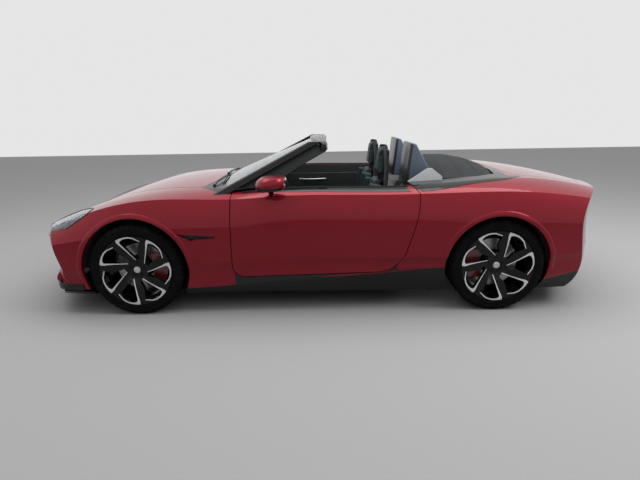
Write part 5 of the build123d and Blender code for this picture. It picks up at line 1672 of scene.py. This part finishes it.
def seat_piping(side_name, side):
    """Piping sunk between the middle pads and the bolsters."""
    middle = side * SEAT_Y
    courses = []
    for aside in (-SEAM_ASIDE, SEAM_ASIDE):
        courses.append([(x, middle + aside, CUSHION_SEAM_Z) for x in CUSHION_X])
        rises = [z - BACK_Z[0] for z in BACK_Z]
        courses.append([(BACK_SEAM_X + BACK_LEAN * rise, middle + aside * (1 - BACK_DRAW * rise),
                         BACK_Z[0] + rise) for rise in rises])
    bars(f"seat_piping_{side_name}", courses, PIPING_RADIUS, 8, THREAD, "root", "seat_trim")


BELT_WIDTH, BELT_THICKNESS = 0.046, 0.0014
# Belt from its slot behind the seat's shoulder down to the sill, about the seat's middle:
# x, how far outboard, z.
BELT_RUN = ((0.700, 0.215, 0.950), (0.640, 0.262, 0.955), (0.610, 0.285, 0.900), (0.560, 0.296, 0.700),
            (0.520, 0.300, 0.500), (0.500, 0.302, 0.380))
# Buckle on the seat's inner side: x, how far inboard of its middle, z, size and edge radius.
BUCKLE_X, BUCKLE_IN, BUCKLE_Z, BUCKLE_SIZE, BUCKLE_ROUND = 0.255, 0.246, 0.455, (0.028, 0.018, 0.075), 0.004


def seat_belt(side_name, side):
    """A belt hanging beside each seat from the shelf to the sill, and its buckle."""
    rows = [[(x + shift, side * (SEAT_Y + out), z) for x, out, z in BELT_RUN]
            for shift in (-BELT_WIDTH / 2, BELT_WIDTH / 2)]
    mesh = strips(rows)
    thicken(mesh, BELT_THICKNESS)
    new_piece(mesh, f"seat_belt_{side_name}", WEBBING, "root", "seat_trim")
    buckle = ((BUCKLE_X, side * (SEAT_Y - BUCKLE_IN), BUCKLE_Z), BUCKLE_SIZE, BUCKLE_ROUND, 3)
    blocks(f"seat_buckle_{side_name}", [buckle], PLASTIC, "root", "black_satin")


# ------------------------------------------------------------------ floor, lamps, camera
FLOOR_HALF = 14.0
# Sky's strength on the car at the horizon and overhead, how much the pale wall behind the
# car adds low down on that side, and the sky's strength where it is seen.
SKY_LOW, SKY_HIGH, WALL, SKY_SEEN = 0.07, 1.05, 0.50, 0.82
# Between which sideways and upward parts of a view's direction the wall comes and goes.
WALL_ASIDE, WALL_UP = (0.15, 0.75), (0.25, 0.60)


def floor_and_backdrop():
    """A pale floor that keeps shadows, under a pale sky that lights the car from above."""
    mesh = bmesh.new()
    bmesh.ops.create_grid(mesh, x_segments=1, y_segments=1, size=FLOOR_HALF)
    pale = Finish("studio_floor", (0.30, 0.30, 0.30), 0.9, Specular_IOR_Level=0.1)
    pale.drive("Base Color", pale.mix(pale.noise(160.0, 4.0, 0.7), (0.25, 0.25, 0.255), (0.35, 0.35, 0.35)))
    new_piece(mesh, "studio_floor", pale)

    world = bpy.data.worlds.new("studio")
    bpy.context.scene.world = world
    world.use_nodes = True
    sky = Nodes(world.node_tree)
    _, y, height = sky.axes(sky.place("Generated"))
    wall = y.ramp(*WALL_ASIDE) * height.ramp(*WALL_UP, WALL, 0.0)
    lit = height.ramp(-0.05, 1.0, SKY_LOW, SKY_HIGH) + wall
    seen = 0.0
    for ray in ("Is Camera Ray", "Is Glossy Ray", "Is Transmission Ray"):
        seen = sky.node("ShaderNodeLightPath", output=ray).maths("MAXIMUM", seen)
    background = world.node_tree.nodes["Background"]
    world.node_tree.links.new((lit * (1 - seen) + seen * SKY_SEEN).link, background.inputs["Strength"])
    background.inputs["Color"].default_value = (0.96, 0.96, 0.97, 1)


def soft_lamp(name, place, aim, width, height, power):
    """A rectangular lamp turned to face a point."""
    lamp = bpy.data.lights.new(name, "AREA")
    lamp.shape, lamp.size, lamp.size_y, lamp.energy = "RECTANGLE", width, height, power
    holder = bpy.data.objects.new(name, lamp)
    holder.location = place
    holder.rotation_euler = (Vector(aim) - Vector(place)).to_track_quat("-Z", "Y").to_euler()
    bpy.context.collection.objects.link(holder)


# name: place, point it faces, width, height, power
LAMPS = {
    "overhead": ((0.0, -0.2, 5.2), (0.0, 0.0, 0.4), 9.0, 4.0, 300),
    "tail_left": ((4.6, -1.6, 4.2), (1.4, 0.0, 0.7), 2.6, 1.6, 120),
}

CAMERA_PLACE = (0.0565, -4.15, 1.467)
CAMERA_PITCH, CAMERA_YAW, CAMERA_ROLL = radians(15.5), radians(-0.55), radians(0.99)
SENSOR, LENS = 36.0, 25.82


def camera_at_the_left():
    """Eye height beside the driver's door, looking a little down."""
    camera = bpy.data.cameras.new("camera")
    camera.sensor_width, camera.lens = SENSOR, LENS
    holder = bpy.data.objects.new("camera", camera)
    turn = (Matrix.Rotation(-CAMERA_YAW, 4, "Z") @ Matrix.Rotation(pi / 2 - CAMERA_PITCH, 4, "X")
            @ Matrix.Rotation(-CAMERA_ROLL, 4, "Z"))
    holder.matrix_world = Matrix.Translation(CAMERA_PLACE) @ turn
    bpy.context.collection.objects.link(holder)
    bpy.context.scene.camera = holder


for end in WHEELS:
    for side_name, side in SIDES:
        for make in (tyre, machined_edges, hub_cap, brake_disc, valve):
            make(end, side_name, side)
arch_lips()
chin()
roll_hoops()
headlamps()
tail_lamps()
mirrors()
wing_vents()
screen_surround()
header_trim()
pillar_linings()
belt_trim("door_belt", DOOR_BELT, "door_{}", ("door",), "rear")
belt_trim("quarter_belt", QUARTER_BELT, "root", ("rear_quarter", "roof_surround"), "front")
rear_plate()
parking_sensors()
wipers()
window_seals()
underside_bolts()
roof_cloth()
roof_stitching()
door_cards()
steering_wheel()
dashboard_trim()
console_trim()
pedals()
floor_mats()
inner_mirror()
seats()
floor_and_backdrop()
for name, (place, aim, width, height, power) in LAMPS.items():
    soft_lamp(name, place, aim, width, height, power)
camera_at_the_left()

bpy.context.scene.view_settings.view_transform = "Standard"
